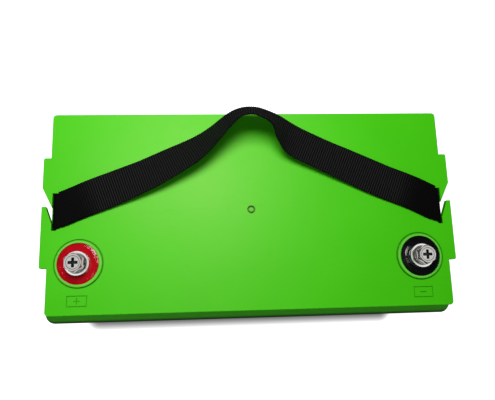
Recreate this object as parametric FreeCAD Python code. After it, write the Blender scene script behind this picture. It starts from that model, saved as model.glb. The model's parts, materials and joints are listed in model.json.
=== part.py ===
import FreeCAD, Part
import math
import os

# A 12 volt lithium iron phosphate battery pack in a moulded ABS case, with a webbing
# carrying strap, two M8 screw terminals, four prismatic cells and a protection board.
# All lengths are in millimetres. The origin is the centre of the base, X runs along the
# length, the terminals are on the front side towards -Y, and Z points up.

os.makedirs("parts", exist_ok=True)

Vector = FreeCAD.Vector

# Case: the container and the flared lid that closes it.
CASE_LENGTH = 330.0
CASE_WIDTH = 173.0
LID_TOP = 215.0
CASE_CORNER_RADIUS = 8.0
WALL = 3.0
FLOOR = 4.0
CONTAINER_INSET = 2.0
FLANGE_HEIGHT = 4.0
BASE_CHAMFER = 2.0
LABEL_PANEL_LENGTH = 220.0
LABEL_PANEL_HEIGHT = 120.0
LABEL_PANEL_CENTRE = 96.0
LABEL_PANEL_DEPTH = 0.8

# Lid: a flat plateau, a skirt that flares outwards and down to a rim, and two ears.
PLATEAU_LENGTH = 318.4
PLATEAU_WIDTH = 160.3
PLATEAU_CORNER_RADIUS = 3.0
PLATEAU_EDGE_RADIUS = 0.6
TOP_THICKNESS = 4.5
TOP_OVERHANG = 0.5
ROOF_THICKNESS = 3.5
SKIRT_DROP = 22.0
RIM_THICKNESS = 3.0
RIM_WALL = 6.0
SKIRT_WALL = 4.5
TONGUE_DEPTH = 8.0
TONGUE_THICKNESS = 2.5
TONGUE_CLEARANCE = 0.4
TONGUE_INNER_RADIUS = 4.0
SEAL_THICKNESS = 1.5
SEAL_INSET = 1.5
EAR_FRONT = -44.3
EAR_BACK = 43.8
EAR_CORNER_RADIUS = 1.6
EAR_EDGE_RADIUS = 0.5

# Strap slots in the ears, written for the left end and mirrored for the right one.
SLIT_OUTER = 156.8
SLIT_INNER = 153.4
SLIT_HALF_LENGTH = 14.9
CHANNEL_MOUTH_BACK = (166.5, 22.5)
CHANNEL_INNER_BACK = (156.7, 2.9)
CHANNEL_INNER_FRONT = (156.7, -9.7)
CHANNEL_TIP = (161.8, 4.2)
POCKET_HALF_WIDTH = 24.0
POCKET_DEPTH = 149.5
POCKET_FLOOR_EDGE = 162.0

# Carrying strap.
STRAP_WIDTH = 28.0
STRAP_THICKNESS = 1.9
STRAP_CLEARANCE = 0.35
STRAP_CUT_X = 110.0
STRAP_CUT_GAP = 1.0
CROSS_BAR_DIAMETER = 5.0
CROSS_BAR_LENGTH = 44.0
CROSS_BAR_BELOW_TOP = 15.5
LOOP_CLEARANCE = 0.2
FOLD_RADIUS = 1.2
STITCH_THICKNESS = 0.6
STITCH_WIDTH = 1.0
STITCH_INSET = 3.0
STITCH_MARGIN = 1.0

# Centre line of the free strap: x, y, height over the lid, roll in degrees.
# A positive roll lifts the front edge of the webbing.
STRAP_STATIONS = (
    (-STRAP_CUT_X, 17.4, 2.2, 4.0),
    (-80.0, 29.0, 6.2, 19.0),
    (-58.0, 39.0, 9.4, 29.0),
    (-40.0, 49.0, 12.6, 43.0),
    (-26.0, 60.0, 17.0, 57.0),
    (-13.0, 70.5, 21.5, 61.5),
    (0.0, 75.0, 23.5, 62.5),
    (11.0, 72.3, 22.0, 60.0),
    (20.5, 65.5, 19.0, 56.0),
    (30.0, 55.5, 15.0, 34.0),
    (44.0, 47.6, 11.6, 19.0),
    (62.0, 40.0, 8.4, 13.0),
    (85.0, 30.0, 5.2, 7.0),
    (STRAP_CUT_X, 19.5, 2.4, 3.0),
)

# Screw terminals.
TERMINAL_X = 135.2
TERMINAL_Y = -40.9
LIP_X = 134.8
LIP_DIAMETER = 36.7
LIP_HEIGHT = 0.9
LIP_EDGE_RADIUS = 0.3
GROOVE_DIAMETER = 38.0
GROOVE_DEPTH = 0.8
WELL_DIAMETER = 32.3
WELL_DEPTH = 11.0
WELL_FLOOR = 3.0
BOSS_DIAMETER = 40.0
SEALANT_BELOW_LIP = 0.4
SEALANT_CLEARANCE = 0.1
INSERT_DIAMETER = 18.6
INSERT_HEIGHT = 3.4
INSERT_DEPTH = 23.0
INSERT_FLANGE_DIAMETER = 27.0
INSERT_FLANGE_THICKNESS = 3.0
INSERT_EDGE_RADIUS = 0.4
BOLT_DIAMETER = 7.9
BOLT_HOLE_DIAMETER = 8.0
BOLT_HOLE_DEPTH = 15.6
BOLT_REACH = 14.0
HEAD_FLATS = 13.0
HEAD_HEIGHT = 6.6
HEAD_CHAMFER_DIAMETER = 12.4
HEAD_CHAMFER_ANGLE = 40.0
HEAD_DISH_DIAMETER = 10.2
HEAD_DISH_DEPTH = 0.6
CROSS_LENGTH = 7.0
CROSS_WIDTH = 1.7
CROSS_DEPTH = 2.6
FLAT_WASHER_DIAMETER = 18.8
FLAT_WASHER_THICKNESS = 1.6
FLAT_WASHER_EDGE_RADIUS = 0.3
SPRING_WASHER_OUTER = 14.4
WASHER_BORE = 8.4
SPRING_WASHER_THICKNESS = 2.0
SPRING_WASHER_RISE = 2.0
SPRING_WASHER_SWEEP = 345.0
SPRING_WASHER_STEPS = 16
RUNNING_GAP = 0.05

# Moulded marks on the lid.
MARK_Y = -69.5
MARK_FRAME_LENGTH = 15.6
MARK_FRAME_WIDTH = 8.6
MARK_LINE = 0.8
MARK_DEPTH = 0.9
SIGN_LENGTH = 4.8
GATE_Y = -0.8
GATE_OUTER = 6.6
GATE_INNER = 3.4
GATE_DEPTH = 2.0
GATE_BUTTON = 1.3
GATE_BUTTON_HEIGHT = 0.3

# Cells, stacked along X.
CELL_COUNT = 4
CELL_LENGTH = 160.0
CELL_THICKNESS = 50.0
CELL_HEIGHT = 118.5
CELL_EDGE_RADIUS = 3.0
INSULATOR_THICKNESS = 1.0
END_PLATE_THICKNESS = 3.0
BASE_PAD_THICKNESS = 5.0
BAND_WIDTH = 16.0
BAND_THICKNESS = 0.6
BAND_HEIGHTS = (30.0, 90.0)
POST_OFFSET = 54.0
POST_DIAMETER = 14.0
POST_HEIGHT = 3.0
STUD_DIAMETER = 5.9
STUD_HEIGHT = 9.5
VENT_LENGTH = 18.0
VENT_WIDTH = 10.0
VENT_HEIGHT = 0.6
BUSBAR_THICKNESS = 2.0
BUSBAR_WIDTH = 18.0
BUSBAR_HOLE = 6.4
NUT_FLATS = 10.0
NUT_HEIGHT = 5.0
NUT_HOLE = 6.1
FOAM_CLEARANCE = 0.5
FOAM_END_CLEARANCE = 2.0
FOAM_TOP = 130.0

# Protection board and its tray, over the cells.
TRAY_LEFT = -64.0
TRAY_RIGHT = 50.0
TRAY_HALF_WIDTH = 40.0
TRAY_BOTTOM = 142.0
TRAY_THICKNESS = 3.0
TRAY_LEG = 6.0
TRAY_LEG_INSET = 6.0
BOARD_LEFT = -60.0
BOARD_RIGHT = 46.0
BOARD_HALF_WIDTH = 36.0
BOARD_THICKNESS = 1.6
STANDOFF_HEIGHT = 6.0
STANDOFF_DIAMETER = 6.0
BOARD_SCREW_INSET = 5.0
SCREW_DIAMETER = 2.9
SCREW_HOLE = 3.1
SCREW_HEAD_DIAMETER = 5.6
SCREW_HEAD_HEIGHT = 2.0
SCREW_LENGTH = 5.5
TRANSISTOR_COUNT = 6
TRANSISTOR_PITCH = 12.0
TRANSISTOR_FIRST_X = -44.0
TRANSISTOR_ROW_Y = 15.0
TRANSISTOR_LENGTH = 10.0
TRANSISTOR_WIDTH = 9.0
TRANSISTOR_HEIGHT = 4.4
HEATSINK_LENGTH = 74.0
HEATSINK_HALF_WIDTH = 22.0
HEATSINK_BASE = 2.5
HEATSINK_FIN_HEIGHT = 8.0
HEATSINK_FIN_THICKNESS = 1.6
HEATSINK_FIN_COUNT = 9
SHUNT_COUNT = 4
SHUNT_X = 38.0
SHUNT_PITCH = 6.0
SHUNT_SPAN = 12.0
SHUNT_WIRE = 1.6
SHUNT_HEIGHT = 5.0
BLOCK_LENGTH = 14.0
BLOCK_WIDTH = 13.0
BLOCK_HEIGHT = 9.0
BLOCK_OFFSET = 20.0
BLOCK_EDGE_GAP = 1.0
BLOCK_STOP = 3.0
CONNECTOR_LENGTH = 8.0
CONNECTOR_HALF_WIDTH = 9.0
CONNECTOR_HEIGHT = 6.0

# Leads inside the case.
LEAD_DIAMETER = 6.5
LEAD_START = 13.0
BARREL_DIAMETER = 9.0
BARREL_START = 10.0
BARREL_END = 24.0
BARREL_STOP = 2.0
LUG_THICKNESS = 2.0
LUG_DIAMETER = 15.0
INNER_BOLT_REACH = 7.0
INNER_BOLT_HEAD = 4.5
INNER_HOLE_SPARE = 0.5
ARC_SHARE = 0.45
SENSE_WIRE_DIAMETER = 1.4
PROBE_DIAMETER = 4.0
PROBE_LENGTH = 10.0
WIRE_CLEARANCE = 0.1

# How far a measured length may be from its nominal one when edges are picked.
TOLERANCE = 0.01

# Levels that follow from the dimensions above.
RIM_TOP = LID_TOP - SKIRT_DROP
RIM_BOTTOM = RIM_TOP - RIM_THICKNESS
CONTAINER_TOP = RIM_BOTTOM - SEAL_THICKNESS
PLATE_BOTTOM = LID_TOP - TOP_THICKNESS
ROOF_BOTTOM = LID_TOP - ROOF_THICKNESS
LIP_TOP = LID_TOP + LIP_HEIGHT
INSERT_TOP = LID_TOP + INSERT_HEIGHT
INSERT_BOTTOM = LID_TOP - INSERT_DEPTH
WELL_BOTTOM = LID_TOP - WELL_DEPTH
FLAT_WASHER_TOP = INSERT_TOP + FLAT_WASHER_THICKNESS
SPRING_WASHER_TOP = FLAT_WASHER_TOP + SPRING_WASHER_THICKNESS + SPRING_WASHER_RISE
HEAD_BOTTOM = SPRING_WASHER_TOP + RUNNING_GAP
CELL_BOTTOM = FLOOR + BASE_PAD_THICKNESS
CELL_TOP = CELL_BOTTOM + CELL_HEIGHT
CELL_PITCH = CELL_THICKNESS + INSULATOR_THICKNESS
STACK_LENGTH = CELL_COUNT * CELL_PITCH - INSULATOR_THICKNESS
POST_TOP = CELL_TOP + POST_HEIGHT
BUSBAR_TOP = POST_TOP + BUSBAR_THICKNESS
BOARD_BOTTOM = TRAY_BOTTOM + TRAY_THICKNESS + STANDOFF_HEIGHT
BOARD_TOP = BOARD_BOTTOM + BOARD_THICKNESS
HEATSINK_BOTTOM = BOARD_TOP + TRANSISTOR_HEIGHT
BLOCK_CENTRE = BOARD_TOP + BLOCK_HEIGHT / 2


def save(name, *solids):
    """Write one named sub-part, a single solid or a group of equal ones."""
    shape = solids[0] if len(solids) == 1 else Part.makeCompound(list(solids))
    shape.exportStep("parts/" + name + ".step")


def box(x0, x1, y0, y1, z0, z1):
    low = Vector(min(x0, x1), min(y0, y1), min(z0, z1))
    return Part.makeBox(abs(x1 - x0), abs(y1 - y0), abs(z1 - z0), low)


def cylinder(x, y, z0, z1, diameter):
    return Part.makeCylinder(diameter / 2, z1 - z0, Vector(x, y, z0))


def ring(x, y, z0, z1, outer, inner):
    return cylinder(x, y, z0, z1, outer).cut(cylinder(x, y, z0, z1, inner))


def polygon_prism(points, z0, z1):
    corners = [Vector(x, y, z0) for x, y in points]
    face = Part.Face(Part.makePolygon(corners + corners[:1]))
    return face.extrude(Vector(0, 0, z1 - z0))


def hexagon(x, y, z0, z1, flats):
    radius = flats / math.sqrt(3)
    corners = []
    for step in range(6):
        angle = math.radians(60 * step + 30)
        corners.append((x + radius * math.cos(angle), y + radius * math.sin(angle)))
    return polygon_prism(corners, z0, z1)


def rounded_outline(length, width, z, radius):
    """A rectangle with round corners, centred on the Z axis, as a closed wire."""
    half_length = length / 2
    half_width = width / 2
    edges = []
    corners = ((1, 1), (-1, 1), (-1, -1), (1, -1))
    ends = []
    for index, (sx, sy) in enumerate(corners):
        centre = Vector(sx * (half_length - radius), sy * (half_width - radius), z)
        start_angle = math.radians(90 * index)
        points = []
        for part in (0.0, 0.5, 1.0):
            angle = start_angle + part * math.pi / 2
            offset = Vector(radius * math.cos(angle), radius * math.sin(angle), 0)
            points.append(centre + offset)
        ends.append(points)
    for index, points in enumerate(ends):
        edges.append(Part.Arc(*points).toShape())
        following = ends[(index + 1) % len(ends)]
        edges.append(Part.LineSegment(points[2], following[0]).toShape())
    return Part.Wire(edges)


def rounded_slab(length, width, z0, z1, radius):
    face = Part.Face(rounded_outline(length, width, z0, radius))
    return face.extrude(Vector(0, 0, z1 - z0))


def tapered_slab(lower, upper, z0, z1):
    """A slab between two rounded rectangles, each given as length, width, radius."""
    bottom = rounded_outline(lower[0], lower[1], z0, lower[2])
    top = rounded_outline(upper[0], upper[1], z1, upper[2])
    return Part.makeLoft([bottom, top], True, True)


def soften_edges(shape, z, radius):
    """Round the edges that lie at one height."""
    level = []
    for edge in shape.Edges:
        if all(abs(vertex.Z - z) < TOLERANCE for vertex in edge.Vertexes):
            level.append(edge)
    return shape.makeFillet(radius, level)


def mirrored(shape):
    """The same shape at the other end of the case."""
    return shape.mirror(Vector(0, 0, 0), Vector(1, 0, 0))


def rounded_path(points):
    """Straight runs joined by tangent arcs, with each arc as large as its runs allow."""
    route = [Vector(*point) for point in points]
    edges = []
    radii = []
    start = route[0]
    for before, corner, after in zip(route, route[1:], route[2:]):
        incoming = corner - before
        outgoing = after - corner
        turn = incoming.getAngle(outgoing)
        setback = ARC_SHARE * min(incoming.Length, outgoing.Length)
        radii.append(setback / math.tan(turn / 2))
        incoming.normalize()
        outgoing.normalize()
        arc_start = corner - incoming * setback
        arc_end = corner + outgoing * setback
        inward = outgoing - incoming
        inward.normalize()
        to_centre = radii[-1] / math.cos(turn / 2)
        arc_middle = corner + inward * (to_centre - radii[-1])
        edges.append(Part.LineSegment(start, arc_start).toShape())
        edges.append(Part.Arc(arc_start, arc_middle, arc_end).toShape())
        start = arc_end
    edges.append(Part.LineSegment(start, route[-1]).toShape())
    return Part.Wire(edges), radii


def tube(name, points, diameter):
    path, radii = rounded_path(points)
    first = Vector(*points[0])
    heading = Vector(*points[1]) - first
    circle = Part.Wire(Part.makeCircle(diameter / 2, first, heading))
    solid = path.makePipeShell([circle], True, False)
    expected = path.Length * math.pi * diameter ** 2 / 4
    text = ", ".join("%.1f" % radius for radius in radii)
    print(name, "length %.1f" % path.Length, "volume/expected %.4f" % (solid.Volume / expected),
          "radii", text)
    return solid


def strap_slot():
    """The slit and the slanted channel that leads into it, at the right-hand end."""
    slit = box(SLIT_INNER, SLIT_OUTER, -SLIT_HALF_LENGTH, SLIT_HALF_LENGTH, PLATE_BOTTOM, LID_TOP)
    tip_outside = (CHANNEL_MOUTH_BACK[0], CHANNEL_TIP[1])
    outline = (CHANNEL_MOUTH_BACK, CHANNEL_INNER_BACK, CHANNEL_INNER_FRONT, CHANNEL_TIP,
               tip_outside)
    channel = polygon_prism(outline, PLATE_BOTTOM, LID_TOP)
    return slit.fuse(channel)


def ear():
    """The flat flange that overhangs the end of the plateau, at the right-hand end."""
    outer = CASE_LENGTH / 2
    flange = box(POCKET_DEPTH, outer, EAR_FRONT, EAR_BACK, PLATE_BOTTOM, LID_TOP)
    corner_edges = []
    for edge in flange.Edges:
        middle = edge.CenterOfMass
        upright = abs(middle.z - (PLATE_BOTTOM + LID_TOP) / 2) < TOLERANCE
        if upright and middle.x > outer - TOLERANCE:
            corner_edges.append(edge)
    flange = flange.makeFillet(EAR_CORNER_RADIUS, corner_edges)
    rim_edges = []
    for edge in flange.Edges:
        at_top = all(abs(vertex.Z - LID_TOP) < TOLERANCE for vertex in edge.Vertexes)
        if at_top and edge.CenterOfMass.x > POCKET_DEPTH + TOLERANCE:
            rim_edges.append(edge)
    return flange.makeFillet(EAR_EDGE_RADIUS, rim_edges)


def lid_envelope():
    """The outer shape of the lid, solid."""
    rim = rounded_slab(CASE_LENGTH, CASE_WIDTH, RIM_BOTTOM, RIM_TOP, CASE_CORNER_RADIUS)
    lower = (CASE_LENGTH, CASE_WIDTH, CASE_CORNER_RADIUS)
    upper_length = PLATEAU_LENGTH - 2 * TOP_OVERHANG
    upper_width = PLATEAU_WIDTH - 2 * TOP_OVERHANG
    upper = (upper_length, upper_width, PLATEAU_CORNER_RADIUS)
    skirt = tapered_slab(lower, upper, RIM_TOP, PLATE_BOTTOM)
    plate = rounded_slab(PLATEAU_LENGTH, PLATEAU_WIDTH, PLATE_BOTTOM, LID_TOP,
                         PLATEAU_CORNER_RADIUS)
    return rim.fuse([skirt, soften_edges(plate, LID_TOP, PLATEAU_EDGE_RADIUS)])


def lid_cavity():
    """The space inside the lid."""
    lower_length = CASE_LENGTH - 2 * RIM_WALL
    lower_width = CASE_WIDTH - 2 * RIM_WALL
    lower = (lower_length, lower_width, CASE_CORNER_RADIUS - WALL)
    upper_length = PLATEAU_LENGTH - 2 * SKIRT_WALL
    upper_width = PLATEAU_WIDTH - 2 * SKIRT_WALL
    upper = (upper_length, upper_width, PLATEAU_CORNER_RADIUS)
    rim_space = rounded_slab(lower_length, lower_width, RIM_BOTTOM, RIM_TOP, lower[2])
    skirt_space = tapered_slab(lower, upper, RIM_TOP, ROOF_BOTTOM)
    return rim_space.fuse(skirt_space)


def end_pocket():
    """The recess under the right-hand ears, open to the end, where the cross bar sits."""
    beyond = CASE_LENGTH / 2 + WALL
    return box(POCKET_DEPTH, beyond, -POCKET_HALF_WIDTH, POCKET_HALF_WIDTH, RIM_TOP, PLATE_BOTTOM)


def end_pocket_walls():
    """The material round the right-hand recess, before the recess is cut from it."""
    half_width = POCKET_HALF_WIDTH + WALL
    outer = CASE_LENGTH / 2
    return box(POCKET_DEPTH - WALL, outer, -half_width, half_width, RIM_BOTTOM, ROOF_BOTTOM)


def polarity_mark(x, positive):
    """The engraved lines of a frame with a plus or a minus sign in it."""
    z0 = LID_TOP - MARK_DEPTH
    z1 = LID_TOP
    half_length = MARK_FRAME_LENGTH / 2
    half_width = MARK_FRAME_WIDTH / 2
    frame = box(x - half_length, x + half_length, MARK_Y - half_width, MARK_Y + half_width, z0, z1)
    inner_length = half_length - MARK_LINE
    inner_width = half_width - MARK_LINE
    window = box(x - inner_length, x + inner_length, MARK_Y - inner_width, MARK_Y + inner_width,
                 z0, z1)
    half_sign = SIGN_LENGTH / 2
    half_line = MARK_LINE / 2
    sign = box(x - half_sign, x + half_sign, MARK_Y - half_line, MARK_Y + half_line, z0, z1)
    if positive:
        upright = box(x - half_line, x + half_line, MARK_Y - half_sign, MARK_Y + half_sign,
                      z0, z1)
        sign = sign.fuse(upright)
    return frame.cut(window).fuse(sign)


def lid():
    envelope = lid_envelope()
    shell = envelope.cut(lid_cavity())
    tongue_length = CASE_LENGTH - 2 * CONTAINER_INSET - 2 * WALL - TONGUE_CLEARANCE
    tongue_width = CASE_WIDTH - 2 * CONTAINER_INSET - 2 * WALL - TONGUE_CLEARANCE
    tongue_bottom = RIM_BOTTOM - TONGUE_DEPTH
    tongue_radius = CASE_CORNER_RADIUS - WALL
    tongue = rounded_slab(tongue_length, tongue_width, tongue_bottom, RIM_TOP, tongue_radius)
    hollow_length = tongue_length - 2 * TONGUE_THICKNESS
    hollow_width = tongue_width - 2 * TONGUE_THICKNESS
    hollow = rounded_slab(hollow_length, hollow_width, tongue_bottom, RIM_TOP, TONGUE_INNER_RADIUS)
    shell = shell.fuse(tongue.cut(hollow))
    for flip in (False, True):
        walls = end_pocket_walls().common(envelope)
        flange = ear()
        pocket = end_pocket()
        slot = strap_slot()
        floor_trim = box(POCKET_FLOOR_EDGE, CASE_LENGTH, -POCKET_HALF_WIDTH, POCKET_HALF_WIDTH,
                         RIM_BOTTOM, RIM_TOP)
        additions = [walls, flange]
        removals = [pocket, slot, floor_trim]
        if flip:
            additions = [mirrored(shape) for shape in additions]
            removals = [mirrored(shape) for shape in removals]
        shell = shell.fuse(additions).cut(removals)
    hole_diameter = INSERT_DIAMETER + 2 * RUNNING_GAP
    for side, positive in ((-1, True), (1, False)):
        x = side * TERMINAL_X
        boss = cylinder(x, TERMINAL_Y, WELL_BOTTOM - WELL_FLOOR, ROOF_BOTTOM, BOSS_DIAMETER)
        lip = cylinder(side * LIP_X, TERMINAL_Y, ROOF_BOTTOM, LIP_TOP, LIP_DIAMETER)
        lip = soften_edges(lip, LIP_TOP, LIP_EDGE_RADIUS)
        well = cylinder(x, TERMINAL_Y, WELL_BOTTOM, LIP_TOP, WELL_DIAMETER)
        hole = cylinder(x, TERMINAL_Y, WELL_BOTTOM - WELL_FLOOR, LIP_TOP, hole_diameter)
        groove = ring(side * LIP_X, TERMINAL_Y, LID_TOP - GROOVE_DEPTH, LID_TOP,
                      GROOVE_DIAMETER, LIP_DIAMETER)
        shell = shell.fuse([boss, lip]).cut([well, hole, groove, polarity_mark(x, positive)])
    gate = ring(0, GATE_Y, LID_TOP - GATE_DEPTH, LID_TOP, GATE_OUTER, GATE_INNER)
    button_top = LID_TOP + GATE_BUTTON_HEIGHT
    button = cylinder(0, GATE_Y, LID_TOP - GATE_DEPTH, button_top, GATE_BUTTON)
    return shell.cut(gate).fuse(button).removeSplitter()


def container():
    length = CASE_LENGTH - 2 * CONTAINER_INSET
    width = CASE_WIDTH - 2 * CONTAINER_INSET
    flange_bottom = CONTAINER_TOP - FLANGE_HEIGHT
    narrow = (length - 2 * BASE_CHAMFER, width - 2 * BASE_CHAMFER,
              CASE_CORNER_RADIUS - BASE_CHAMFER)
    base = tapered_slab(narrow, (length, width, CASE_CORNER_RADIUS), 0, BASE_CHAMFER)
    walls = rounded_slab(length, width, BASE_CHAMFER, flange_bottom, CASE_CORNER_RADIUS)
    flange = rounded_slab(CASE_LENGTH, CASE_WIDTH, flange_bottom, CONTAINER_TOP,
                          CASE_CORNER_RADIUS)
    cavity = rounded_slab(length - 2 * WALL, width - 2 * WALL, FLOOR, CONTAINER_TOP,
                          CASE_CORNER_RADIUS - WALL)
    panels = []
    for side in (-1, 1):
        low = LABEL_PANEL_CENTRE - LABEL_PANEL_HEIGHT / 2
        high = LABEL_PANEL_CENTRE + LABEL_PANEL_HEIGHT / 2
        half_length = LABEL_PANEL_LENGTH / 2
        face = side * width / 2
        panels.append(box(-half_length, half_length, face, face - side * LABEL_PANEL_DEPTH,
                          low, high))
    return base.fuse([walls, flange]).cut([cavity] + panels).removeSplitter()


def lid_seal():
    length = CASE_LENGTH - 2 * SEAL_INSET
    width = CASE_WIDTH - 2 * SEAL_INSET
    outer = rounded_slab(length, width, CONTAINER_TOP, RIM_BOTTOM,
                         CASE_CORNER_RADIUS - SEAL_INSET)
    inner_length = CASE_LENGTH - 2 * CONTAINER_INSET - 2 * WALL
    inner_width = CASE_WIDTH - 2 * CONTAINER_INSET - 2 * WALL
    inner = rounded_slab(inner_length, inner_width, CONTAINER_TOP, RIM_BOTTOM,
                         CASE_CORNER_RADIUS - WALL)
    return outer.cut(inner)


def terminal_insert(x):
    """Plated brass bushing: a thick pad with a flange that the sealant holds down."""
    column = cylinder(x, TERMINAL_Y, INSERT_BOTTOM, INSERT_TOP, INSERT_DIAMETER)
    column = soften_edges(column, INSERT_TOP, INSERT_EDGE_RADIUS)
    flange_top = WELL_BOTTOM + INSERT_FLANGE_THICKNESS
    flange = cylinder(x, TERMINAL_Y, WELL_BOTTOM, flange_top, INSERT_FLANGE_DIAMETER)
    bolt_hole = cylinder(x, TERMINAL_Y, INSERT_TOP - BOLT_HOLE_DEPTH, INSERT_TOP,
                         BOLT_HOLE_DIAMETER)
    lower_hole_top = INSERT_BOTTOM + INNER_BOLT_REACH + INNER_HOLE_SPARE
    lower_hole = cylinder(x, TERMINAL_Y, INSERT_BOTTOM, lower_hole_top, NUT_HOLE)
    return column.fuse(flange).cut([bolt_hole, lower_hole])


def sealant(x):
    bottom = WELL_BOTTOM + INSERT_FLANGE_THICKNESS
    outer = WELL_DIAMETER - SEALANT_CLEARANCE
    inner = INSERT_DIAMETER + SEALANT_CLEARANCE
    return ring(x, TERMINAL_Y, bottom, LIP_TOP - SEALANT_BELOW_LIP, outer, inner)


def flat_washer(x):
    disc = cylinder(x, TERMINAL_Y, INSERT_TOP, FLAT_WASHER_TOP, FLAT_WASHER_DIAMETER)
    disc = soften_edges(disc, FLAT_WASHER_TOP, FLAT_WASHER_EDGE_RADIUS)
    disc = soften_edges(disc, INSERT_TOP, FLAT_WASHER_EDGE_RADIUS)
    return disc.cut(cylinder(x, TERMINAL_Y, INSERT_TOP, FLAT_WASHER_TOP, WASHER_BORE))


def spring_washer(x):
    """A split ring of rectangular section that climbs as it goes round."""
    sections = []
    for step in range(SPRING_WASHER_STEPS + 1):
        part = step / SPRING_WASHER_STEPS
        angle = math.radians(SPRING_WASHER_SWEEP * part)
        low = FLAT_WASHER_TOP + SPRING_WASHER_RISE * part
        high = low + SPRING_WASHER_THICKNESS
        corners = []
        for radius, z in ((WASHER_BORE / 2, low), (SPRING_WASHER_OUTER / 2, low),
                          (SPRING_WASHER_OUTER / 2, high), (WASHER_BORE / 2, high)):
            corners.append(Vector(x + radius * math.cos(angle),
                                  TERMINAL_Y + radius * math.sin(angle), z))
        sections.append(Part.makePolygon(corners + corners[:1]))
    return Part.makeLoft(sections, True, True)


def terminal_bolt(x):
    """Hexagon bolt with a chamfered, dished head and a cross recess."""
    top = HEAD_BOTTOM + HEAD_HEIGHT
    head = hexagon(x, TERMINAL_Y, HEAD_BOTTOM, top, HEAD_FLATS)
    corner_radius = HEAD_FLATS / math.sqrt(3)
    chamfer_width = corner_radius - HEAD_CHAMFER_DIAMETER / 2
    chamfer_bottom = top - chamfer_width * math.tan(math.radians(HEAD_CHAMFER_ANGLE))
    drum = cylinder(x, TERMINAL_Y, HEAD_BOTTOM, chamfer_bottom, 2 * HEAD_FLATS)
    cone_base = Vector(x, TERMINAL_Y, chamfer_bottom)
    cone = Part.makeCone(corner_radius, HEAD_CHAMFER_DIAMETER / 2, top - chamfer_bottom, cone_base)
    head = head.common(drum.fuse(cone))
    dish = cylinder(x, TERMINAL_Y, top - HEAD_DISH_DEPTH, top, HEAD_DISH_DIAMETER)
    half_length = CROSS_LENGTH / 2
    half_width = CROSS_WIDTH / 2
    bottom = top - CROSS_DEPTH
    slot_x = box(x - half_length, x + half_length, TERMINAL_Y - half_width,
                 TERMINAL_Y + half_width, bottom, top)
    slot_y = box(x - half_width, x + half_width, TERMINAL_Y - half_length,
                 TERMINAL_Y + half_length, bottom, top)
    shank = cylinder(x, TERMINAL_Y, INSERT_TOP - BOLT_REACH, HEAD_BOTTOM, BOLT_DIAMETER)
    return head.cut([dish, slot_x, slot_y]).fuse(shank)


def strap_section(station, heading):
    """The four corners of the webbing at one place along it."""
    x, y, height, roll = station
    centre = Vector(x, y, LID_TOP + height)
    forward = Vector(heading.x, heading.y, 0)
    forward.normalize()
    to_front = Vector(forward.y, -forward.x, 0)
    angle = math.radians(roll)
    across = to_front * math.cos(angle) + Vector(0, 0, 1) * math.sin(angle)
    through = across.cross(forward)
    half_width = across * (STRAP_WIDTH / 2)
    half_thickness = through * (STRAP_THICKNESS / 2)
    corners = [centre + half_width + half_thickness, centre - half_width + half_thickness,
               centre - half_width - half_thickness, centre + half_width - half_thickness]
    return Part.makePolygon(corners + corners[:1])


def strap_span():
    """The free middle of the strap, which lies back over the lid and twists on to its edge."""
    sections = []
    last = len(STRAP_STATIONS) - 1
    for index, station in enumerate(STRAP_STATIONS):
        before = STRAP_STATIONS[max(index - 1, 0)]
        after = STRAP_STATIONS[min(index + 1, last)]
        heading = Vector(after[0] - before[0], after[1] - before[1], 0)
        sections.append(strap_section(station, heading))
    return Part.makeLoft(sections, True, True)


def strap_tail_end(side):
    """The corners where a tail meets the free span, with x counted from the middle."""
    stations = STRAP_STATIONS if side < 0 else STRAP_STATIONS[::-1]
    inward = Vector(abs(stations[1][0]) - abs(stations[0][0]), stations[1][1] - stations[0][1], 0)
    inward.normalize()
    centre = Vector(abs(stations[0][0]), stations[0][1], 0) - inward * STRAP_CUT_GAP
    across = Vector(inward.y, -inward.x, 0) * (STRAP_WIDTH / 2)
    corners = sorted([(centre + across), (centre - across)], key=lambda corner: corner.y)
    return [(corner.x, corner.y) for corner in corners]


def strap_tail(side):
    """The end of the strap: a loop round the cross bar, up through the slit, over the lid."""
    slit_centre = (SLIT_INNER + SLIT_OUTER) / 2
    half = STRAP_THICKNESS / 2
    half_width = STRAP_WIDTH / 2
    bar_z = LID_TOP - CROSS_BAR_BELOW_TOP
    bore = CROSS_BAR_DIAMETER / 2 + LOOP_CLEARANCE
    outer = bore + STRAP_THICKNESS
    start = Vector(slit_centre, -half_width, bar_z)
    along = Vector(0, 1, 0)
    loop = Part.makeCylinder(outer, STRAP_WIDTH, start, along)
    neck_top = LID_TOP + STRAP_CLEARANCE + STRAP_THICKNESS
    doubled_top = PLATE_BOTTOM - STRAP_CLEARANCE
    neck = box(slit_centre - half, slit_centre + half, -half_width, half_width, bar_z, neck_top)
    overlap = box(slit_centre - half - STRAP_THICKNESS, slit_centre - half,
                  -half_width, half_width, bar_z, doubled_top)
    hole = Part.makeCylinder(bore, STRAP_WIDTH, start, along)
    z0 = LID_TOP + STRAP_CLEARANCE
    end_front, end_back = strap_tail_end(side)
    fold_x = slit_centre + half
    flat_outline = ((fold_x, -half_width), (fold_x, half_width), end_back, end_front)
    flat = polygon_prism(flat_outline, z0, z0 + STRAP_THICKNESS)
    tail = loop.fuse([neck, overlap, flat]).cut(hole)
    fold_edges = []
    for edge in tail.Edges:
        middle = edge.CenterOfMass
        at_fold = abs(middle.x - fold_x) < TOLERANCE
        at_top = abs(middle.z - neck_top) < TOLERANCE
        if at_fold and at_top and edge.Length > half_width:
            fold_edges.append(edge)
    tail = tail.makeFillet(FOLD_RADIUS, fold_edges)
    return tail if side > 0 else mirrored(tail)


def cross_bar(side):
    x = side * (SLIT_INNER + SLIT_OUTER) / 2
    start = Vector(x, -CROSS_BAR_LENGTH / 2, LID_TOP - CROSS_BAR_BELOW_TOP)
    return Part.makeCylinder(CROSS_BAR_DIAMETER / 2, CROSS_BAR_LENGTH, start, Vector(0, 1, 0))


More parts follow.
